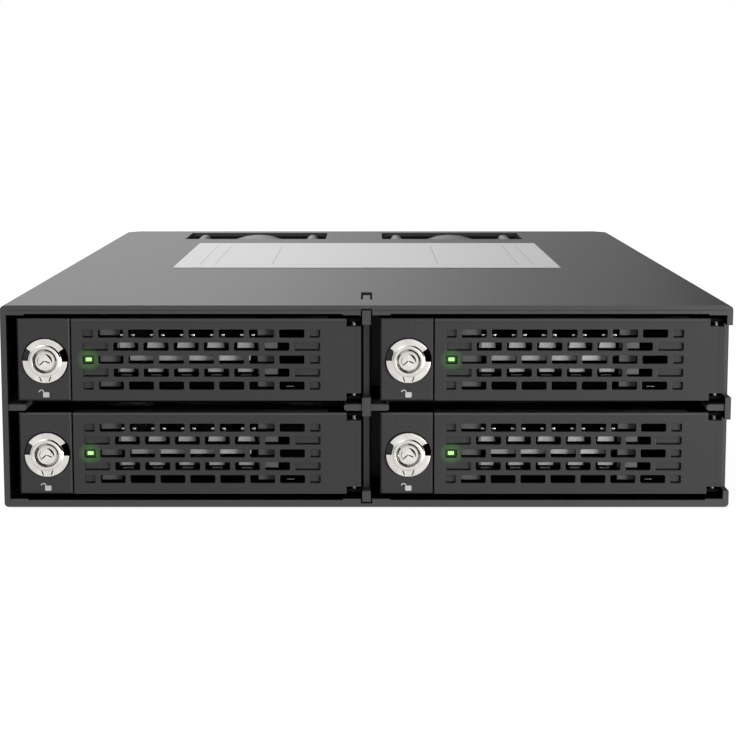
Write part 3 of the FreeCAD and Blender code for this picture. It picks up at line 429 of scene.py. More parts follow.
def lock_material():
    """Nickel plate, with painted shade in the grooves of the disc and of the barrel."""
    # the barrel's round face in three boxes, which end just under it and hold only its grooves
    barrel_face = [
        zone(-1.25, 1.25, -0.72, 0.0, -1.25, 1.25),
        zone(-1.55, 1.55, -0.72, 0.0, -0.9, 0.9),
        zone(-0.9, 0.9, -0.72, 0.0, -1.55, 1.55),
    ]
    v_mark = zone(-1.2, 1.2, -0.5, 0.0, -4.15, -3.0)
    collar_groove = zone(0.0, 3.0, -0.55, 0.6, 0.0, 3.0)
    barrel_groove = zone(-2.3, -0.2, -0.34, 0.1, -2.3, 1.4)
    cut_out_floor = zone(-4.6, -3.0, -0.42, 0.3, 0.02, 2.9)
    # painted shade: all these boxes, the floor of the left cut-out too, take a dark grey
    grooves = barrel_face + [v_mark, collar_groove, barrel_groove, cut_out_floor]
    return paint_shade_and_highlight(turned_metal("nickel_plate", NICKEL, 0.27), grooves, GROOVE_SHADE_GREY)


def guard_material():
    """Pale coat of the inner guard, in shade where its blocks lie on the tray's posts."""
    posts = [zone(x - 0.1, x + POST_W + 0.05, -FAR, FAR, -FAR, FAR) for x in POSTS]
    return paint_shade_and_highlight(painted("inner_guard_coat", GUARD_GREY, 0.5), posts, POST_GREY)


# painted shade: the cage's insides, and the divider and shelf behind their front edges, are painted near
# black
SHELL = paint_shade_and_highlight(painted("cage_coat", COAT_GREY, COAT_ROUGH), [cage_inside()])
PANEL = painted("panel_coat", COAT_GREY, COAT_ROUGH)
BASE = paint_shade_and_highlight(painted("base_coat", COAT_GREY, COAT_ROUGH), [cage_inside()])
DIVIDER = paint_shade_and_highlight(painted("divider_coat", COAT_GREY, 0.5), [behind(3.75)])
SHELF = paint_shade_and_highlight(painted("shelf_coat", COAT_GREY, 0.5), [behind(6.1)])
FRONT_PAINT = front_material()
HANDLE = handle_material()
TRAY = painted("tray_coat", (0.010, 0.010, 0.0105), 0.5, specular=0.3)
LOCKS = lock_material()
SCREWS = metal("black_steel", (0.10, 0.10, 0.105), 0.4)
SPRING = metal("spring_wire", (0.55, 0.55, 0.56), 0.3)
BOARD = board_material()
SOCKET = painted("socket_moulding", (0.014, 0.014, 0.015), 0.4, grain_mm=0.3, depth_mm=0.006)
# painted shade and light: one fan plastic in two copies, darker and matte on the flanges, lighter on the
# duct, crests and blades
FAN_SHADED_PLASTIC = painted("fan_moulding_shaded", (0.010, 0.010, 0.010), 0.75, grain_mm=0.3, depth_mm=0.006, specular=0.2)
FAN_LIT_PLASTIC = painted("duct_moulding_lit", (0.05, 0.05, 0.05), 0.42, grain_mm=0.3, depth_mm=0.006)
LABEL = painted("label_film", (0.93, 0.93, 0.94), 0.42, grain_mm=0.8, depth_mm=0.004, spread=0.02)
LINES = painted("label_lines", LINE_GREY, 0.5, grain_mm=0.3, depth_mm=0.001, spread=0.05, specular=0.3)
PIPE = lit("pipe_body", (0.002, 0.02, 0.002), (0.0, 0.10, 0.0), 0.15)
LENS = lit("pipe_lens", (0.35, 0.9, 0.25), (0.42, 1.0, 0.22), 1.05)
LAMPS = lit("board_lamp", (0.3, 0.9, 0.3), (0.2, 1.0, 0.15), 0.8)
INNER = guard_material()
GLINT = metal("guard_spring", (0.75, 0.75, 0.75), 0.3)
SIGN = painted("sign_ink", (0.66, 0.66, 0.65), 0.55, grain_mm=0.2, depth_mm=0.002, spread=0.06)
GOLD = metal("contact_gold", (0.86, 0.62, 0.26), 0.25)
# painted shadow: the dark strip along the rim's seam
SHADOW_LINE_COAT = painted("seam_shadow", (0.026, 0.026, 0.026), 0.6, specular=0.2)

BY_SLOT = {
    "cage_paint": PANEL,
    "front_paint": FRONT_PAINT,
    "tray_steel": TRAY,
    "lock_metal": LOCKS,
    "screw_steel": SCREWS,
    "spring_steel": SPRING,
    "board_green": BOARD,
    "socket_plastic": SOCKET,
    "fan_plastic": FAN_SHADED_PLASTIC,
    "label_film": LABEL,
    "pipe_clear": PIPE,
    "lamp_green": LAMPS,
}
BY_NODE = {"outer_shell": SHELL, "base_plate": BASE, "center_divider": DIVIDER, "mid_shelf": SHELF}
SLOT_OF = {s["node"]: s["material_slot"] for s in frame["record"]["subparts"]}
for name, obj in frame["nodes"].items():
    obj.data.materials.clear()
    obj.data.materials.append(BY_NODE.get(name, BY_SLOT[SLOT_OF[name]]))


# ---------------------------------------------------------------- mesh making


def link(name, mesh, material, metres=(0, 0, 0)):
    """A new object in the scene with one material."""
    obj = bpy.data.objects.new(name, mesh)
    obj.location = metres
    scene.collection.objects.link(obj)
    mesh.materials.clear()
    mesh.materials.append(material)
    return obj


def piece(name, mesh, material, body, where=(0, 0, 0)):
    """A piece of the part, which rides on a body, placed in millimetres."""
    obj = link(name, mesh, material, Vector(where) * MM)
    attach(obj, body)
    return obj


def applied(obj):
    """The object's mesh with its modifiers applied. The object itself goes."""
    bpy.context.view_layer.update()
    depsgraph = bpy.context.evaluated_depsgraph_get()
    mesh = bpy.data.meshes.new_from_object(obj.evaluated_get(depsgraph))
    bpy.data.objects.remove(obj)
    return mesh


def stored(name, shape):
    """The mesh of a finished shape."""
    mesh = bpy.data.meshes.new(name)
    shape.to_mesh(mesh)
    shape.free()
    return mesh


def closed(name, shape):
    """The mesh of a closed form, with its faces turned outwards."""
    bmesh.ops.recalc_face_normals(shape, faces=shape.faces)
    return stored(name, shape)


def joined(meshes):
    """Several meshes as one."""
    shape = bmesh.new()
    for m in meshes:
        shape.from_mesh(m)
    return stored("joined", shape)


def moved(mesh, x, y, z, turn=0.0, axis="Y"):
    """A copy of a mesh turned in degrees round an axis and moved in millimetres."""
    out = mesh.copy()
    place = Matrix.Translation((x * MM, y * MM, z * MM))
    out.transform(place @ Matrix.Rotation(math.radians(turn), 4, axis))
    return out


def smooth(mesh, angle=35.0):
    """Smooth shading, except at edges sharper than an angle."""
    for p in mesh.polygons:
        p.use_smooth = True
    mesh.set_sharp_from_angle(angle=math.radians(angle))
    return mesh


def even(mesh):
    """The same mesh with its normals weighted by area, so that flat faces stay flat beside eased edges."""
    obj = link("even", mesh, LOCKS)
    modifier = obj.modifiers.new("even", "WEIGHTED_NORMAL")
    modifier.keep_sharp = True
    return applied(obj)


def slab(x0, x1, y0, y1, z0, z1, radius=0.1, segments=2, only=None):
    """A block with rounded edges, or with only those rounded that a test picks."""
    shape = bmesh.new()
    bmesh.ops.create_cube(shape, size=1)
    for v in shape.verts:
        v.co = Vector((x0 if v.co.x < 0 else x1, y0 if v.co.y < 0 else y1, z0 if v.co.z < 0 else z1))
    edges = shape.edges[:] if only is None else [e for e in shape.edges if only(e)]
    if radius > 0:
        bmesh.ops.bevel(shape, geom=edges, offset=radius, segments=segments, profile=0.5, affect="EDGES")
    bmesh.ops.scale(shape, vec=(MM, MM, MM), verts=shape.verts)
    return stored("slab", shape)


def arc(x, z, r, start, end, steps):
    """Points of an arc between two bearings in degrees, with both ends."""
    bearings = [math.radians(start + (end - start) * k / steps) for k in range(steps + 1)]
    return [(x + r * math.cos(a), z + r * math.sin(a)) for a in bearings]


def circle(x, z, r, steps):
    """Corner points of a circle."""
    return arc(x, z, r, 0, 360, steps)[:-1]


def rounded(x0, x1, z0, z1, radius, steps=4):
    """Corner points of a rounded rectangle."""
    left, right = x0 + radius, x1 - radius
    low, high = z0 + radius, z1 - radius
    points = []
    for x, z, start in ((right, high, 0), (left, high, 90), (left, low, 180), (right, low, 270)):
        points += arc(x, z, radius, start, start + 90, steps)
    return points


def plate(loops, y0, y1, bevel):
    """A plate in the XZ plane from an outline and its holes, with its edges eased."""
    curve = bpy.data.curves.new("plate", "CURVE")
    curve.dimensions = "2D"
    curve.fill_mode = "BOTH"
    curve.extrude = ((y1 - y0) / 2 - bevel) * MM
    curve.bevel_depth = bevel * MM
    curve.bevel_resolution = 1
    curve.offset = -bevel * MM
    for loop in loops:
        spline = curve.splines.new("POLY")
        spline.points.add(len(loop) - 1)
        for p, (x, z) in zip(spline.points, loop):
            p.co = (x * MM, z * MM, 0, 1)
        spline.use_cyclic_u = True
    obj = bpy.data.objects.new("plate", curve)
    scene.collection.objects.link(obj)
    mesh = applied(obj)
    mesh.transform(Matrix.Translation((0, (y0 + y1) / 2 * MM, 0)) @ Matrix.Rotation(math.pi / 2, 4, "X"))
    return mesh


def turned(profile, segments=64):
    """A profile of (radius, y) turned round the Y axis."""
    shape = bmesh.new()
    rings = []
    for r, y in profile:
        if r < 1e-6:
            rings.append([shape.verts.new((0, y * MM, 0))])
            continue
        ring = []
        for k in range(segments):
            a = 2 * math.pi * k / segments
            ring.append(shape.verts.new((r * MM * math.cos(a), y * MM, r * MM * math.sin(a))))
        rings.append(ring)
    for a, b in zip(rings, rings[1:]):
        for k in range(segments):
            n = (k + 1) % segments
            if len(a) == 1:
                shape.faces.new((a[0], b[n], b[k]))
            elif len(b) == 1:
                shape.faces.new((a[k], a[n], b[0]))
            else:
                shape.faces.new((a[k], a[n], b[n], b[k]))
    return closed("turned", shape)


def carved(mesh, cutters, bevel):
    """A mesh with others taken out of it, and its new edges eased."""
    base = link("carved", mesh, LOCKS)
    tools = []
    for cutter in cutters:
        tool = link("cutter", cutter, LOCKS)
        modifier = base.modifiers.new("cut", "BOOLEAN")
        modifier.operation = "DIFFERENCE"
        modifier.solver = "EXACT"
        modifier.object = tool
        tools.append(tool)
    modifier = base.modifiers.new("ease", "BEVEL")
    modifier.width = bevel * MM
    modifier.segments = 2
    modifier.limit_method = "ANGLE"
    modifier.angle_limit = math.radians(40)
    out = applied(base)
    for tool in tools:
        bpy.data.objects.remove(tool)
    return out


def sector(r0, r1, bearing, sweep, y0, y1, steps=12):
    """A block between two radii and two bearings, round the Y axis."""
    shape = bmesh.new()
    top, low = [], []
    for k in range(steps + 1):
        a = math.radians(bearing - sweep / 2 + sweep * k / steps)
        for y, store in ((y0, low), (y1, top)):
            ends = [shape.verts.new((r * MM * math.cos(a), y * MM, r * MM * math.sin(a))) for r in (r0, r1)]
            store.append(ends)
    for k in range(steps):
        shape.faces.new((low[k][0], low[k][1], low[k + 1][1], low[k + 1][0]))
        shape.faces.new((top[k][0], top[k + 1][0], top[k + 1][1], top[k][1]))
        shape.faces.new((low[k][0], low[k + 1][0], top[k + 1][0], top[k][0]))
        shape.faces.new((low[k][1], top[k][1], top[k + 1][1], low[k + 1][1]))
    for k in (0, steps):
        shape.faces.new((low[k][0], top[k][0], top[k][1], low[k][1]))
    return closed("sector", shape)


def crescent(radius, thick, bearing, sweep, y0, y1, steps=18):
    """A block like a thin moon, which tapers to its ends, to cut a groove with."""
    outer, inner = [], []
    for k in range(steps + 1):
        a = math.radians(bearing - sweep / 2 + sweep * k / steps)
        deep = 0.03 + thick * math.sin(math.pi * k / steps)
        outer.append((radius * math.cos(a), radius * math.sin(a)))
        inner.append(((radius - deep) * math.cos(a), (radius - deep) * math.sin(a)))
    shape = bmesh.new()
    loop = outer + inner[::-1]
    low = [shape.verts.new((x * MM, y0 * MM, z * MM)) for x, z in loop]
    top = [shape.verts.new((x * MM, y1 * MM, z * MM)) for x, z in loop]
    count = len(loop)
    for k in range(count):
        n = (k + 1) % count
        shape.faces.new((low[k], low[n], top[n], top[k]))
    shape.faces.new(low)
    shape.faces.new(top)
    return closed("crescent", shape)


def helix(radius, wire, y0, y1, turns):
    """A round wire wound round the Y axis."""
    curve = bpy.data.curves.new("helix", "CURVE")
    curve.dimensions = "3D"
    curve.bevel_depth = wire / 2 * MM
    curve.bevel_resolution = 2
    curve.use_fill_caps = True
    steps = int(turns * 16)
    spline = curve.splines.new("POLY")
    spline.points.add(steps)
    for k, p in enumerate(spline.points):
        a = 2 * math.pi * turns * k / steps
        y = y0 + (y1 - y0) * k / steps
        p.co = (radius * MM * math.cos(a), y * MM, radius * MM * math.sin(a), 1)
    obj = bpy.data.objects.new("helix", curve)
    scene.collection.objects.link(obj)
    return smooth(applied(obj))


# ---------------------------------------------------------------- handle


def row_start(row):
    """Where the open slots of a row begin."""
    return GRILLE[0] + (row % 2) * SLOT_PITCH / 2


def grille_loops():
    """Open slots, blind cells at their ends, and the dark slots in those cells."""
    opened, blind, lines = [], [], []
    for row in ROWS:
        z0, z1 = row_z(row) - SLOT[1] / 2, row_z(row) + SLOT[1] / 2
        start = row_start(row)
        count = int((GRILLE[1] - start + WEB) // SLOT_PITCH)
        for k in range(count):
            x = start + k * SLOT_PITCH
            opened.append(rounded(x, x + SLOT[0], z0, z1, 0.32))
        if row == LAMP_ROW:
            half_w, half_h = LAMP_WINDOW
            z = row_z(row)
            opened.append(rounded(LAMP_X - half_w, LAMP_X + half_w, z - half_h, z + half_h, 0.35))
        else:
            blind.append(rounded(BLIND[0], start - WEB, z0, z1, 0.3))
            lines.append(rounded(BLIND[0] + 0.2, start - WEB - 0.1, z0 + 0.04, z0 + 0.26, 0.08, 2))
        last = start + count * SLOT_PITCH
        blind.append(rounded(last, BLIND[1], z0, z1, 0.3))
        lines.append(rounded(last + 0.1, BLIND[1] - 0.2, z0 + 0.04, z0 + 0.26, 0.08, 2))
        lines.append(rounded(BLIND[1] - 0.24, BLIND[1] - 0.06, z0 + 0.34, z1 - 0.2, 0.08, 2))
    return opened, blind, lines


def upright_at(x):
    """Picks the upright edges of a block at one place along x."""
    def test(edge):
        a, b = edge.verts
        return abs(a.co.x - x) < 1e-6 and abs(b.co.x - x) < 1e-6 and abs(a.co.y - b.co.y) < 1e-6
    return test


def along_top(edge):
    """Picks the front top edge of a block that stands at y 0 and reaches the tray's height."""
    a, b = edge.verts
    return abs(a.co.x - b.co.x) > 1e-6 and a.co.y < 1e-6 and a.co.z > TRAY_H - 1e-3


def handle_mesh():
    """Perforated lever: a plate in three layers, a rolled top, two hems, the hinge's end and a rib."""
    x0, x1 = HANDLE_X
    narrow, low, high = NOTCH
    top = TRAY_H - 0.35
    outline = [(x0, 0), (narrow, 0), (narrow, low), (PLATE_END, low),
               (PLATE_END, high), (narrow, high), (narrow, top), (x0, top)]
    opened, blind, lines = grille_loops()
    parts = [
        plate([outline] + opened + blind, 0, CELL_DEPTH, 0.07),
        plate([outline] + opened + lines, CELL_DEPTH, LINE_DEPTH, 0.02),
        plate([outline] + opened, LINE_DEPTH, PLATE_T, 0.02),
        slab(x0, narrow, 0, 1.0, TRAY_H - 0.45, TRAY_H, 0.3, 4, along_top),
        slab(x0, HEM_END, 0.35, 4.0, 0.0, HEM_H, 0.1),
        slab(x0, HEM_END, 0.35, 4.0, TRAY_H - HEM_H, TRAY_H, 0.1),
        slab(PLATE_END - 0.1, x1, 0, 3.1, low, high, 0.75, 4, upright_at(x1)),
        slab(narrow, PLATE_END, 0.6, 3.1, low, high, 0.1),
        slab(x0 + 0.5, x0 + 1.5, 0.9, 4.1, 12.7, TRAY_H - 0.5, 0.1),
    ]
    return smooth(joined(parts))


# ---------------------------------------------------------------- lock, sign, lens and guard


def bar(x0, z0, x1, z1, width, y0, y1):
    """A straight block between two points in the XZ plane, to cut a groove with."""
    half = math.hypot(x1 - x0, z1 - z0) / 2
    turn = math.degrees(math.atan2(z1 - z0, x1 - x0))
    block = slab(-half, half, y0, y1, -width / 2, width / 2, 0)
    return moved(block, (x0 + x1) / 2, 0, (z0 + z1) / 2, -turn)


def lock_disc_mesh():
    """Push disc: a flange with two cut-outs, a raised collar with a shadow groove, and a V mark below."""
    plunger = [(0, 6.0), (3.3, 6.0), (3.3, 1.2)]
    flange = [(4.35, 1.2), (4.5, 1.05), (4.5, -0.30), (4.42, -0.48), (4.26, -0.56)]
    collar = [(3.5, -0.6), (3.3, -0.62), (3.14, -0.74), (3.04, -0.98), (2.88, -1.09), (2.7, -1.12)]
    bore = [(2.52, -1.06), (2.4, -0.9), (2.36, -0.6), (2.36, 3.4), (0, 3.4)]
    cuts = [sector(3.32, 5.2, bearing, sweep, -1.6, end) for bearing, sweep, end in CUT_OUTS]
    cuts.append(sector(3.04, 3.3, 50, 72, -1.3, -0.2, 16))
    cuts += [bar(side * 1.15, -3.15, side * 0.5, -4.7, 0.24, -1.2, -0.3) for side in (-1, 1)]
    cuts.append(sector(4.3, 5.2, 80, 5, -1.2, -0.35, 3))
    body = turned(plunger + flange + collar + bore, 96)
    return even(smooth(carved(body, cuts, 0.04), 30))


def dial_mesh():
    """Key barrel: a soft shoulder, a groove on its left, a crescent keyway and an arch below it."""
    profile = [(0, -0.78), (1.7, -0.78), (1.86, -0.74), (1.98, -0.62), (2.12, -0.5),
               (2.26, -0.42), (2.3, -0.3), (2.3, 3.3), (0, 3.3)]
    cuts = [
        sector(1.98, 2.22, 205, 130, -1.2, -0.05, 18),
        crescent(1.52, 0.4, 38, 104, -1.5, -0.3),
        bar(-1.0, -0.75, -0.12, 0.05, 0.24, -1.5, -0.5),
        bar(0.05, 0.02, 1.0, -0.36, 0.24, -1.5, -0.5),
        sector(1.36, 1.46, 185, 80, -1.5, -0.68, 8),
    ]
    return even(smooth(carved(turned(profile, 72), cuts, 0.03), 30))


def padlock_mesh():
    """Open padlock sign: a body with its bow swung open to the left."""
    body = rounded(4.98, 6.26, 0.66, 1.72, 0.2)
    bow = arc(4.68, 1.68, 0.56, 10, 170, 10) + arc(4.68, 1.68, 0.36, 10, 170, 10)[::-1]
    return joined([plate([loop], -0.02, 0.01, 0.004) for loop in (body, bow)])


def lens_mesh():
    """The lamp's small lens behind its window."""
    return smooth(slab(LAMP_X - 0.62, LAMP_X + 0.62, 0.45, 0.7, ROW_MID - 0.38, ROW_MID + 0.38, 0.12, 3))


def tapered(x0, x1, z0, z1, slant):
    """A small finger whose sides lean outwards towards its lower edge."""
    y0, y1 = GUARD_Y
    return plate([[(x0 - slant, z0), (x1 + slant, z0), (x1, z1), (x0, z1)]], y0, y1, 0.08)


def guard_mesh():
    """Inner guard: blocks on the tray's posts, a rib in the middle row and fingers behind the odd rows."""
    y0, y1 = GUARD_Y
    parts = []
    for row in ROWS:
        low, high = row_z(row) - BLOCK_LOW[row], row_z(row) + BLOCK_HIGH
        for post in POSTS:
            # the left post has a block only where the row isn't set aside
            if post == POSTS[1] or row % 2 == 0:
                parts.append(slab(post, post + POST_W, y0, y1, low, high, 0.08))
    middle = row_z(LAMP_ROW)
    rib = slab(POSTS[0] + POST_W + 2.0, POSTS[1] - 1.5, y0, y1, middle - 0.42, middle + BLOCK_HIGH, 0.08)
    parts.append(rib)
    for k in range(FINGERS):
        x = row_start(1) + k * SLOT_PITCH + SLOT[0] / 2 - 0.25
        parts.append(tapered(x - 1.5, x + 1.5, row_z(1) - 0.5, row_z(1) + 1.0, 0.25))
        parts.append(slab(x - 1.6, x + 1.5, y0, y1, row_z(3) - 0.12, row_z(3) + 0.95, 0.08))
        parts.append(slab(x - 1.1, x + 1.0, y1, y1 + 0.6, row_z(3) - 1.0, row_z(3) - 0.8, 0.06))
    return smooth(joined(parts))


def finger_mesh():
    """Small bright spring fingers beside the webs of the top row, and one low on the right."""
    parts = []
    z = row_z(0) - 0.56
    for k in range(1, FINGERS + 1):
        web = GRILLE[0] + k * SLOT_PITCH
        for x in (web + 0.3, web - WEB - 0.9):
            parts.append(slab(x, x + 0.75, 1.7, 2.2, z - 0.24, z + 0.22, 0.12, 3))
    low = row_z(4) - 0.4
    parts.append(slab(53.6, 55.2, 2.4, 2.7, low - 0.25, low - 0.1, 0.06, 3))
    return smooth(joined(parts))


def tray_pieces():
    """The same set of pieces for each tray, with its own lever, disc and barrel on their own bodies."""
    handle = handle_mesh()
    disc = lock_disc_mesh()
    dial = dial_mesh()
    sign = padlock_mesh()
    lens = lens_mesh()
    guard = guard_mesh()
    fingers = finger_mesh()
    spring = helix(1.1, 0.36, 5.9, 11.9, 7)
    for n in TRAYS:
        tray = "tray_%d" % n
        origin = box_mm("tray_%d_front" % n)[0]
        lock = origin + Vector((LOCK[0], 0, LOCK[1]))
        beside = lock - Vector((1.6, 0, 0))
        obj = piece("handle_%d_lever" % n, handle.copy(), HANDLE, "handle_%d" % n, origin)
        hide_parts(tray + "_handle")
        obj = piece("button_%d_disc" % n, disc.copy(), LOCKS, "button_%d" % n, lock)
        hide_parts(tray + "_lock_button")
        obj = piece("dial_%d_plug" % n, dial.copy(), LOCKS, "dial_%d" % n, lock)
        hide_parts(tray + "_lock_dial")
        obj = piece("spring_%d_coil" % n, spring.copy(), SPRING, tray, beside)
        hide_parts(tray + "_lock_spring")
        piece("padlock_sign_%d" % n, sign.copy(), SIGN, tray, origin)
        piece("pipe_lens_%d" % n, lens.copy(), LENS, tray, origin)
        piece("inner_guard_%d" % n, guard.copy(), INNER, tray, origin)
        piece("guard_fingers_%d" % n, fingers.copy(), GLINT, tray, origin)


# ---------------------------------------------------------------- fans, rear panel, screws and sockets


def quarters():
    """The four places round a fan's middle where its screws go."""
    return [(i * HOLE_AT, j * HOLE_AT) for i in (-1, 1) for j in (-1, 1)]


def tube(r0, r1, y0, y1, segments):
    """A round wall between two radii, or a plug where the inner one is 0."""
    return turned([(r0, y0), (r1, y0), (r1, y1), (r0, y1)], segments)


def fan_body_mesh(depth):
    """Two square flanges, the screw bosses, the motor seat and its struts."""
    half = FAN / 2
    loops = [rounded(-half, half, -half, half, 1.6), circle(0, 0, DUCT_R, 72)]
    loops += [circle(x, z, BOSS_HOLE_R, 20) for x, z in quarters()]
    parts = [plate(loops, 0, FLANGE_T, 0.25), plate(loops, depth - FLANGE_T, depth, 0.25)]
    boss = tube(BOSS_HOLE_R, 3.6, FLANGE_T, depth - FLANGE_T, 32)
    parts += [moved(boss, x, 0, z) for x, z in quarters()]
    seat = [(0, 2.5), (HUB_R - 0.3, 2.5), (HUB_R, 2.2), (HUB_R, 0.6), (HUB_R - 0.3, 0.3), (0, 0.3)]
    parts.append(turned([(r, depth - up) for r, up in seat]))
    strut = slab(HUB_R - 0.5, DUCT_R + 0.5, depth - 2.5, depth - 0.6, -1.1, 1.1, 0.3, 3)
    parts += [moved(strut, 0, 0, 0, 30 + 120 * k) for k in range(3)]
    parts.append(tube(0, 2.0, 5.0, depth - 2.4, 24))
    return smooth(joined(parts))


def fan_duct_mesh(depth):
    """The round duct between the flanges, with a rounded crest over each screw boss."""
    lip = FLANGE_T - 0.1
    crest = tube(0, 1.9, lip, depth - lip, 32)
    parts = [tube(DUCT_R, DUCT_R + 1.25, lip, depth - lip, 96)]
    parts += [moved(crest, x, 0, z * 1.145) for x, z in quarters()]
    return smooth(joined(parts))


def blade_line(shape, u, side, columns):
    """Vertices across one side of a blade at a share u of its length, from leading to trailing edge."""
    root = HUB_R - 0.4
    r = root + (BLADE_R - root) * u
    pitch = math.radians(48 - 12 * u)
    line = []
    for j in range(columns + 1):
        v = j / columns - 0.5
        chord = 11.0 * v
        hollow = 0.9 * (1 - 4 * v * v) + side * BLADE_T / 2 * (1.02 - abs(v))
        y = chord * math.cos(pitch) - hollow * math.sin(pitch)
        swing = (chord * math.sin(pitch) + hollow * math.cos(pitch)) / r + 0.25 * u
        line.append(shape.verts.new((r * math.cos(swing) * MM, y * MM, r * math.sin(swing) * MM)))
    return line


def blade_mesh():
    """One fan blade: pitched 48 degrees at the hub and 36 at the tip, and a little hollow."""
    shape = bmesh.new()
    rows, columns = 6, 8
    skins = [[blade_line(shape, i / rows, side, columns) for i in range(rows + 1)] for side in (-1, 1)]
    for skin in skins:
        for i in range(rows):
            for j in range(columns):
                shape.faces.new((skin[i][j], skin[i + 1][j], skin[i + 1][j + 1], skin[i][j + 1]))
    a, b = skins
    for i in range(rows):
        for j in (0, columns):
            shape.faces.new((a[i][j], a[i + 1][j], b[i + 1][j], b[i][j]))
    for j in range(columns):
        for i in (0, rows):
            shape.faces.new((a[i][j], a[i][j + 1], b[i][j + 1], b[i][j]))
    return closed("blade", shape)


def rotor_mesh(depth):
    """Cup hub, open at the rear, with its blades. The middle of its depth is at y 0."""
    half = depth / 2
    outside = [(0, -half), (HUB_R - 0.8, -half), (HUB_R, -half + 0.8), (HUB_R, half), (HUB_R - 1, half)]
    magnet = [(HUB_R - 1, -half + 1.5), (4.0, -half + 1.5), (4.0, half - 2.0), (2.2, half - 2.0)]
    shaft = [(2.2, -half + 1.8), (0, -half + 1.8)]
    blade = blade_mesh()
    blades = [moved(blade, 0, 0, 0, 360 / BLADES * k) for k in range(BLADES)]
    return smooth(joined([turned(outside + magnet + shaft)] + blades), 40)


def fan_pieces():
    """Both fans: body and duct on the cage, and the blades on their own rotor."""
    for side in SIDES:
        lo, hi = box_mm("fan_%s_frame" % side)
        depth = hi.y - lo.y
        where = Vector(((lo.x + hi.x) / 2, lo.y, (lo.z + hi.z) / 2))
        obj = piece("fan_%s_body" % side, fan_body_mesh(depth), FAN_SHADED_PLASTIC, "cage", where)
        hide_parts("fan_%s_frame" % side)
        piece("fan_%s_duct" % side, fan_duct_mesh(depth), FAN_LIT_PLASTIC, "cage", where)
        lo, hi = box_mm("fan_%s_rotor" % side)
        rotor = rotor_mesh(hi.y - lo.y)
        where = Vector((where.x, (lo.y + hi.y) / 2, where.z))
        obj = piece("fan_%s_blades" % side, rotor, FAN_LIT_PLASTIC, "rotor_%s" % side, where)
        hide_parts("fan_%s_rotor" % side)


def guard_loops(x, z):
    """Openings of a finger guard: two rings of slots between four spokes."""
    loops = []
    for inner, outer in GUARD_RINGS:
        for k in range(4):
            sides = []
            for r in (outer, inner):
                gap = math.degrees(math.asin(SPOKE / 2 / r))
                sides.append(arc(x, z, r, -45 + 90 * k + gap, 45 + 90 * k - gap, 14))
            loops.append(sides[0] + sides[1][::-1])
    return loops


def rear_panel_piece():
    """Rear wall with fan guards, vents, socket windows and side flanges, drawn from the nodes' places."""
    lo, hi = box_mm("rear_panel")
    loops = [[(lo.x, lo.z), (hi.x, lo.z), (hi.x, hi.z), (lo.x, hi.z)]]
    edges = []
    for side in SIDES:
        near, far = box_mm("fan_%s_frame" % side)
        x, z = (near.x + far.x) / 2, (near.z + far.z) / 2
        loops += guard_loops(x, z)
        loops += [circle(x + i, z + j, 1.85, 20) for i, j in quarters()]
        edges += [near.x - 2.5, far.x + 2.5]
    for name in SOCKETS:
        near, far = box_mm(name)
        loops.append(rounded(near.x - 0.2, far.x + 0.2, near.z - 0.2, far.z + 0.2, 0.3))
    for x0, x1 in ((lo.x + 2.5, edges[0]), (edges[1], edges[2])):
        for k in range(VENTS):
            z = HEIGHT / 2 + (k - (VENTS - 1) / 2) * VENT_PITCH
            loops.append(rounded(x0, x1, z - 1.2, z + 1.2, 1.15, 6))
    parts = [plate(loops, hi.y - SHEET, hi.y, 0.1)]
    for x0, x1 in ((lo.x, lo.x + 0.8), (hi.x - 0.8, hi.x)):
        parts.append(slab(x0, x1, lo.y, hi.y - 0.5, lo.z + 3, hi.z - 3, 0.2))
    obj = piece("rear_panel_plate", smooth(joined(parts)), PANEL, "cage")
    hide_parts("rear_panel")


def screw_mesh(head, shank_r, shank_end):
    """A screw along Y with a cross recess. Its head is a profile from the face backwards."""
    face, reach = head[0][1], head[-1][1]
    shank = [(shank_r, reach), (shank_r, shank_end), (0, shank_end)]
    cross = slab(-1.5, 1.5, face - 1, face + 0.75, -0.24, 0.24, 0)
    cuts = [moved(cross, 0, 0, 0, turn) for turn in (45, 135)]
    return smooth(carved(turned([(0, face)] + head + shank, 32), cuts, 0.05))


def screw_pieces():
    """Pan heads that hold the fans, and flat heads in the sides of the rear panel."""
    pan = screw_mesh([(1.6, -1.4), (2.2, -1.2), (2.55, -0.7), (2.6, -0.25), (2.6, 0)], 1.6, 7.6)
    heads = []
    back = box_mm("rear_panel")[1].y
    for side in SIDES:
        lo, hi = box_mm("fan_%s_frame" % side)
        x, z = (lo.x + hi.x) / 2, (lo.z + hi.z) / 2
        heads += [moved(pan, x + i, back, z + j, 180, "Z") for i, j in quarters()]
    obj = piece("fan_screw_set", joined(heads), SCREWS, "cage")
    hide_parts("fan_screws")
    flat = screw_mesh([(2.35, 0.0), (2.55, 0.1), (2.6, 0.3), (2.6, 1.0)], 1.4, 2.1)
    lo, hi = box_mm("panel_screws")
    heads = []
    for z in (lo.z + 2.6, hi.z - 2.6):
        for x, turn in ((lo.x, -90), (hi.x, 90)):
            heads.append(moved(flat, x, (lo.y + hi.y) / 2, z, turn, "Z"))
    obj = piece("panel_screw_set", joined(heads), SCREWS, "cage")
    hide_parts("panel_screws")


def contact_piece():
    """Gold contact strips on the blades inside the rear sockets."""
    strips = []
    for name, cells in SOCKETS.items():
        lo, hi = box_mm(name)
        x, back = (lo.x + hi.x) / 2, hi.y
        cell = (hi.z - lo.z) / cells
        for k in range(cells):
            z, end = lo.z + k * cell + 3.0, lo.z + (k + 1) * cell - 2.4
            while z < end:
                strips.append(slab(x - 0.36, x + 0.96, back - 7.9, back - 1.4, z, z + 0.7, 0.05, 1))
                z += CONTACT_PITCH
    piece("port_contacts", joined(strips), GOLD, "cage")


# ---------------------------------------------------------------- cover


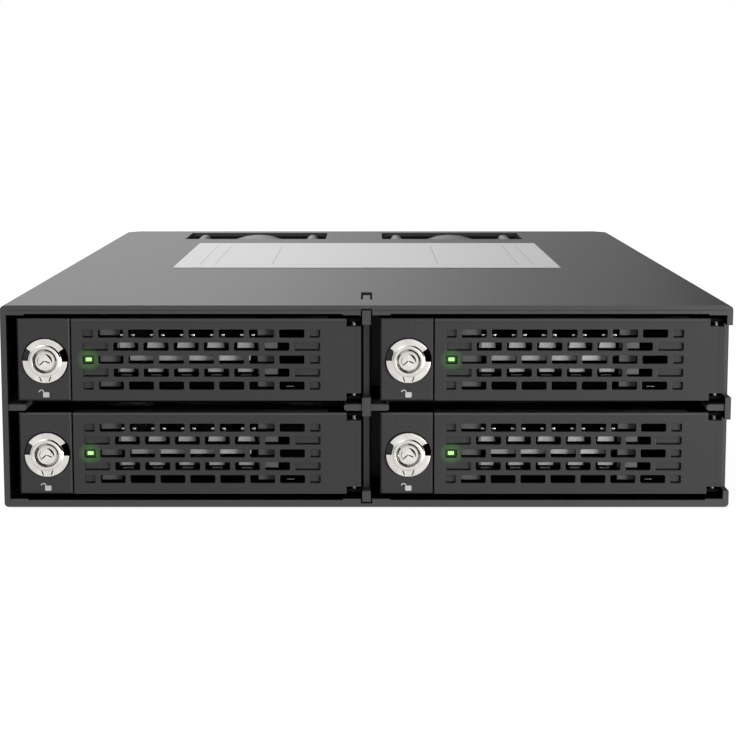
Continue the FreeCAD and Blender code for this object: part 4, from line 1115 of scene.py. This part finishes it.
def label_pieces():
    """Blank label: a plain sheet with faint empty frames."""
    lo, hi = box_mm("blank_label")
    sheet = slab(lo.x, hi.x, lo.y, hi.y, lo.z, lo.z + 0.14, 0.04)
    obj = piece("label_sheet", sheet, LABEL, "cage")
    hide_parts("blank_label")
    left, right, front, rear = lo.x + 9.5, hi.x - 9.5, lo.y + 6.5, hi.y - 8.0
    inner_left, inner_right = left + 14, right - 20
    uprights = (left, right - LINE_W, lo.x + 5.8, hi.x - 5.8 - LINE_W, inner_left, inner_right)
    lines = [(left, right, y, y + LINE_W) for y in (front, rear)]
    lines += [(x, x + LINE_W, front, rear) for x in uprights]
    lines += [(inner_left, inner_right, y, y + LINE_W) for y in (front + 17, front + 34)]
    frames = [slab(x0, x1, y0, y1, lo.z + 0.1, lo.z + 0.145, 0) for x0, x1, y0, y1 in lines]
    piece("label_frames", joined(frames), LINES, "cage")


def rim_shadow_line_piece():
    """A dark strip as a painted shadow: the shadow line where the outer sheet lies on the folded rim of the
    mouth.
    """
    z = HEIGHT - SHEET
    line = slab(-71.5, 71.5, FRONT - 0.02, FRONT + 0.3, z - 0.07, z + 0.07, 0)
    piece("rim_shadow_line", line, SHADOW_LINE_COAT, "cage")


# ---------------------------------------------------------------- stage, light and camera, in metres

WORLD_LIGHT = 0.33
FLOOR_TONE = (0.55, 0.55, 0.55)
FLOOR_GLOW = 0.82
FLOOR_HALF = 3.0
FLAG_Y = 2.0
FLAG_CORNERS = ((0.47, 0.0), (2.6, 0.0), (2.6, 1.9), (0.14, 1.9), (0.14, 0.48), (0.47, 0.48))
WHITE = (1, 1, 1)
LIGHTS = (  # name, place, target, size and watts
    ("key", (-0.7, -0.4, 1.4), (0, 0, 0.02), (1.0, 1.0), 5.5),
    ("front_fill", (0.48, -0.42, 0.021), (0.02, -0.09, 0.02), (0.3, 0.03), 3.0),
    ("rear_left", (-0.5, 1.8, 0.8), (0, 0, 0.04), (0.9, 0.6), 2.0),
)
CAMERA_PLACE = (0.0003, FRONT * MM - 0.3213, 0.0831)
CAMERA_PITCH = 6.56
CAMERA_LENS = 79.7
CAMERA_SHIFT = -0.12


def soft_light(name, where, target, size, power):
    """A rectangular lamp that faces its target."""
    data = bpy.data.lights.new(name, "AREA")
    data.shape = "RECTANGLE"
    data.size, data.size_y = size
    data.energy = power
    obj = bpy.data.objects.new(name, data)
    obj.location = where
    obj.rotation_euler = (Vector(target) - Vector(where)).to_track_quat("-Z", "Y").to_euler()
    scene.collection.objects.link(obj)


def seen_directly(tree):
    """1 for camera, glossy and transmission rays, 0 for the rest."""
    path = tree.nodes.new("ShaderNodeLightPath").outputs
    shiny = maths(tree, "MAXIMUM", path["Is Glossy Ray"], path["Is Transmission Ray"])
    return maths(tree, "MAXIMUM", path["Is Camera Ray"], shiny)


def make_world():
    """White for the eye and in reflections, and a soft light for the rest."""
    world = bpy.data.worlds.new("studio")
    scene.world = world
    world.use_nodes = True
    tree = world.node_tree
    tree.nodes.clear()
    mix = tree.nodes.new("ShaderNodeMixShader")
    feed(tree, seen_directly(tree), mix.inputs[0])
    for strength, socket in ((WORLD_LIGHT, mix.inputs[1]), (1.0, mix.inputs[2])):
        background = tree.nodes.new("ShaderNodeBackground")
        feed(tree, WHITE, background.inputs["Color"])
        background.inputs["Strength"].default_value = strength
        tree.links.new(background.outputs[0], socket)
    out = tree.nodes.new("ShaderNodeOutputWorld")
    tree.links.new(mix.outputs[0], out.inputs["Surface"])


def make_floor():
    """A plain pale floor, which glows to white for the eye and in reflections."""
    mesh = bpy.data.meshes.new("floor")
    s = FLOOR_HALF
    mesh.from_pydata([(-s, -s, 0), (s, -s, 0), (s, s, 0), (-s, s, 0)], [], [(0, 1, 2, 3)])
    material, tree = new_material("floor_white")
    tree.nodes.remove(tree.nodes["Principled BSDF"])
    diffuse = tree.nodes.new("ShaderNodeBsdfDiffuse")
    feed(tree, FLOOR_TONE, diffuse.inputs["Color"])
    glow = tree.nodes.new("ShaderNodeEmission")
    feed(tree, WHITE, glow.inputs["Color"])
    feed(tree, maths(tree, "MULTIPLY", seen_directly(tree), FLOOR_GLOW), glow.inputs["Strength"])
    add = tree.nodes.new("ShaderNodeAddShader")
    tree.links.new(diffuse.outputs[0], add.inputs[0])
    tree.links.new(glow.outputs[0], add.inputs[1])
    tree.links.new(add.outputs[0], tree.nodes["Material Output"].inputs["Surface"])
    floor = link("floor", mesh, material, (0, 0, CAD_BOX[0].z - 0.0003))


def make_flag():
    """A black studio flag behind on the right, seen only in reflections, which tones the cover down."""
    mesh = bpy.data.meshes.new("flag")
    mesh.from_pydata([(x, 0, z) for x, z in FLAG_CORNERS], [], [tuple(range(len(FLAG_CORNERS)))])
    material, tree = new_material("flag_black")
    surface = surface_of(tree)
    feed(tree, (0.004, 0.004, 0.004), surface["Base Color"])
    surface["Roughness"].default_value = 1.0
    surface["Specular IOR Level"].default_value = 0.0
    flag = link("flag", mesh, material, (0, FLAG_Y, 0))
    flag.visible_camera = False
    flag.visible_diffuse = False
    flag.visible_shadow = False


def make_camera():
    """The camera of the photograph: a little above the cover, and looking down at the front."""
    data = bpy.data.cameras.new("camera")
    data.sensor_width = 36.0
    data.lens = CAMERA_LENS
    data.shift_y = CAMERA_SHIFT
    data.clip_start = 0.01
    cam = bpy.data.objects.new("camera", data)
    cam.location = CAMERA_PLACE
    cam.rotation_euler = (math.radians(90 - CAMERA_PITCH), 0, 0)
    scene.collection.objects.link(cam)
    scene.camera = cam


tray_pieces()
fan_pieces()
rear_panel_piece()
screw_pieces()
contact_piece()
label_pieces()
rim_shadow_line_piece()
make_world()
make_floor()
make_flag()
for light in LIGHTS:
    soft_light(*light)
make_camera()
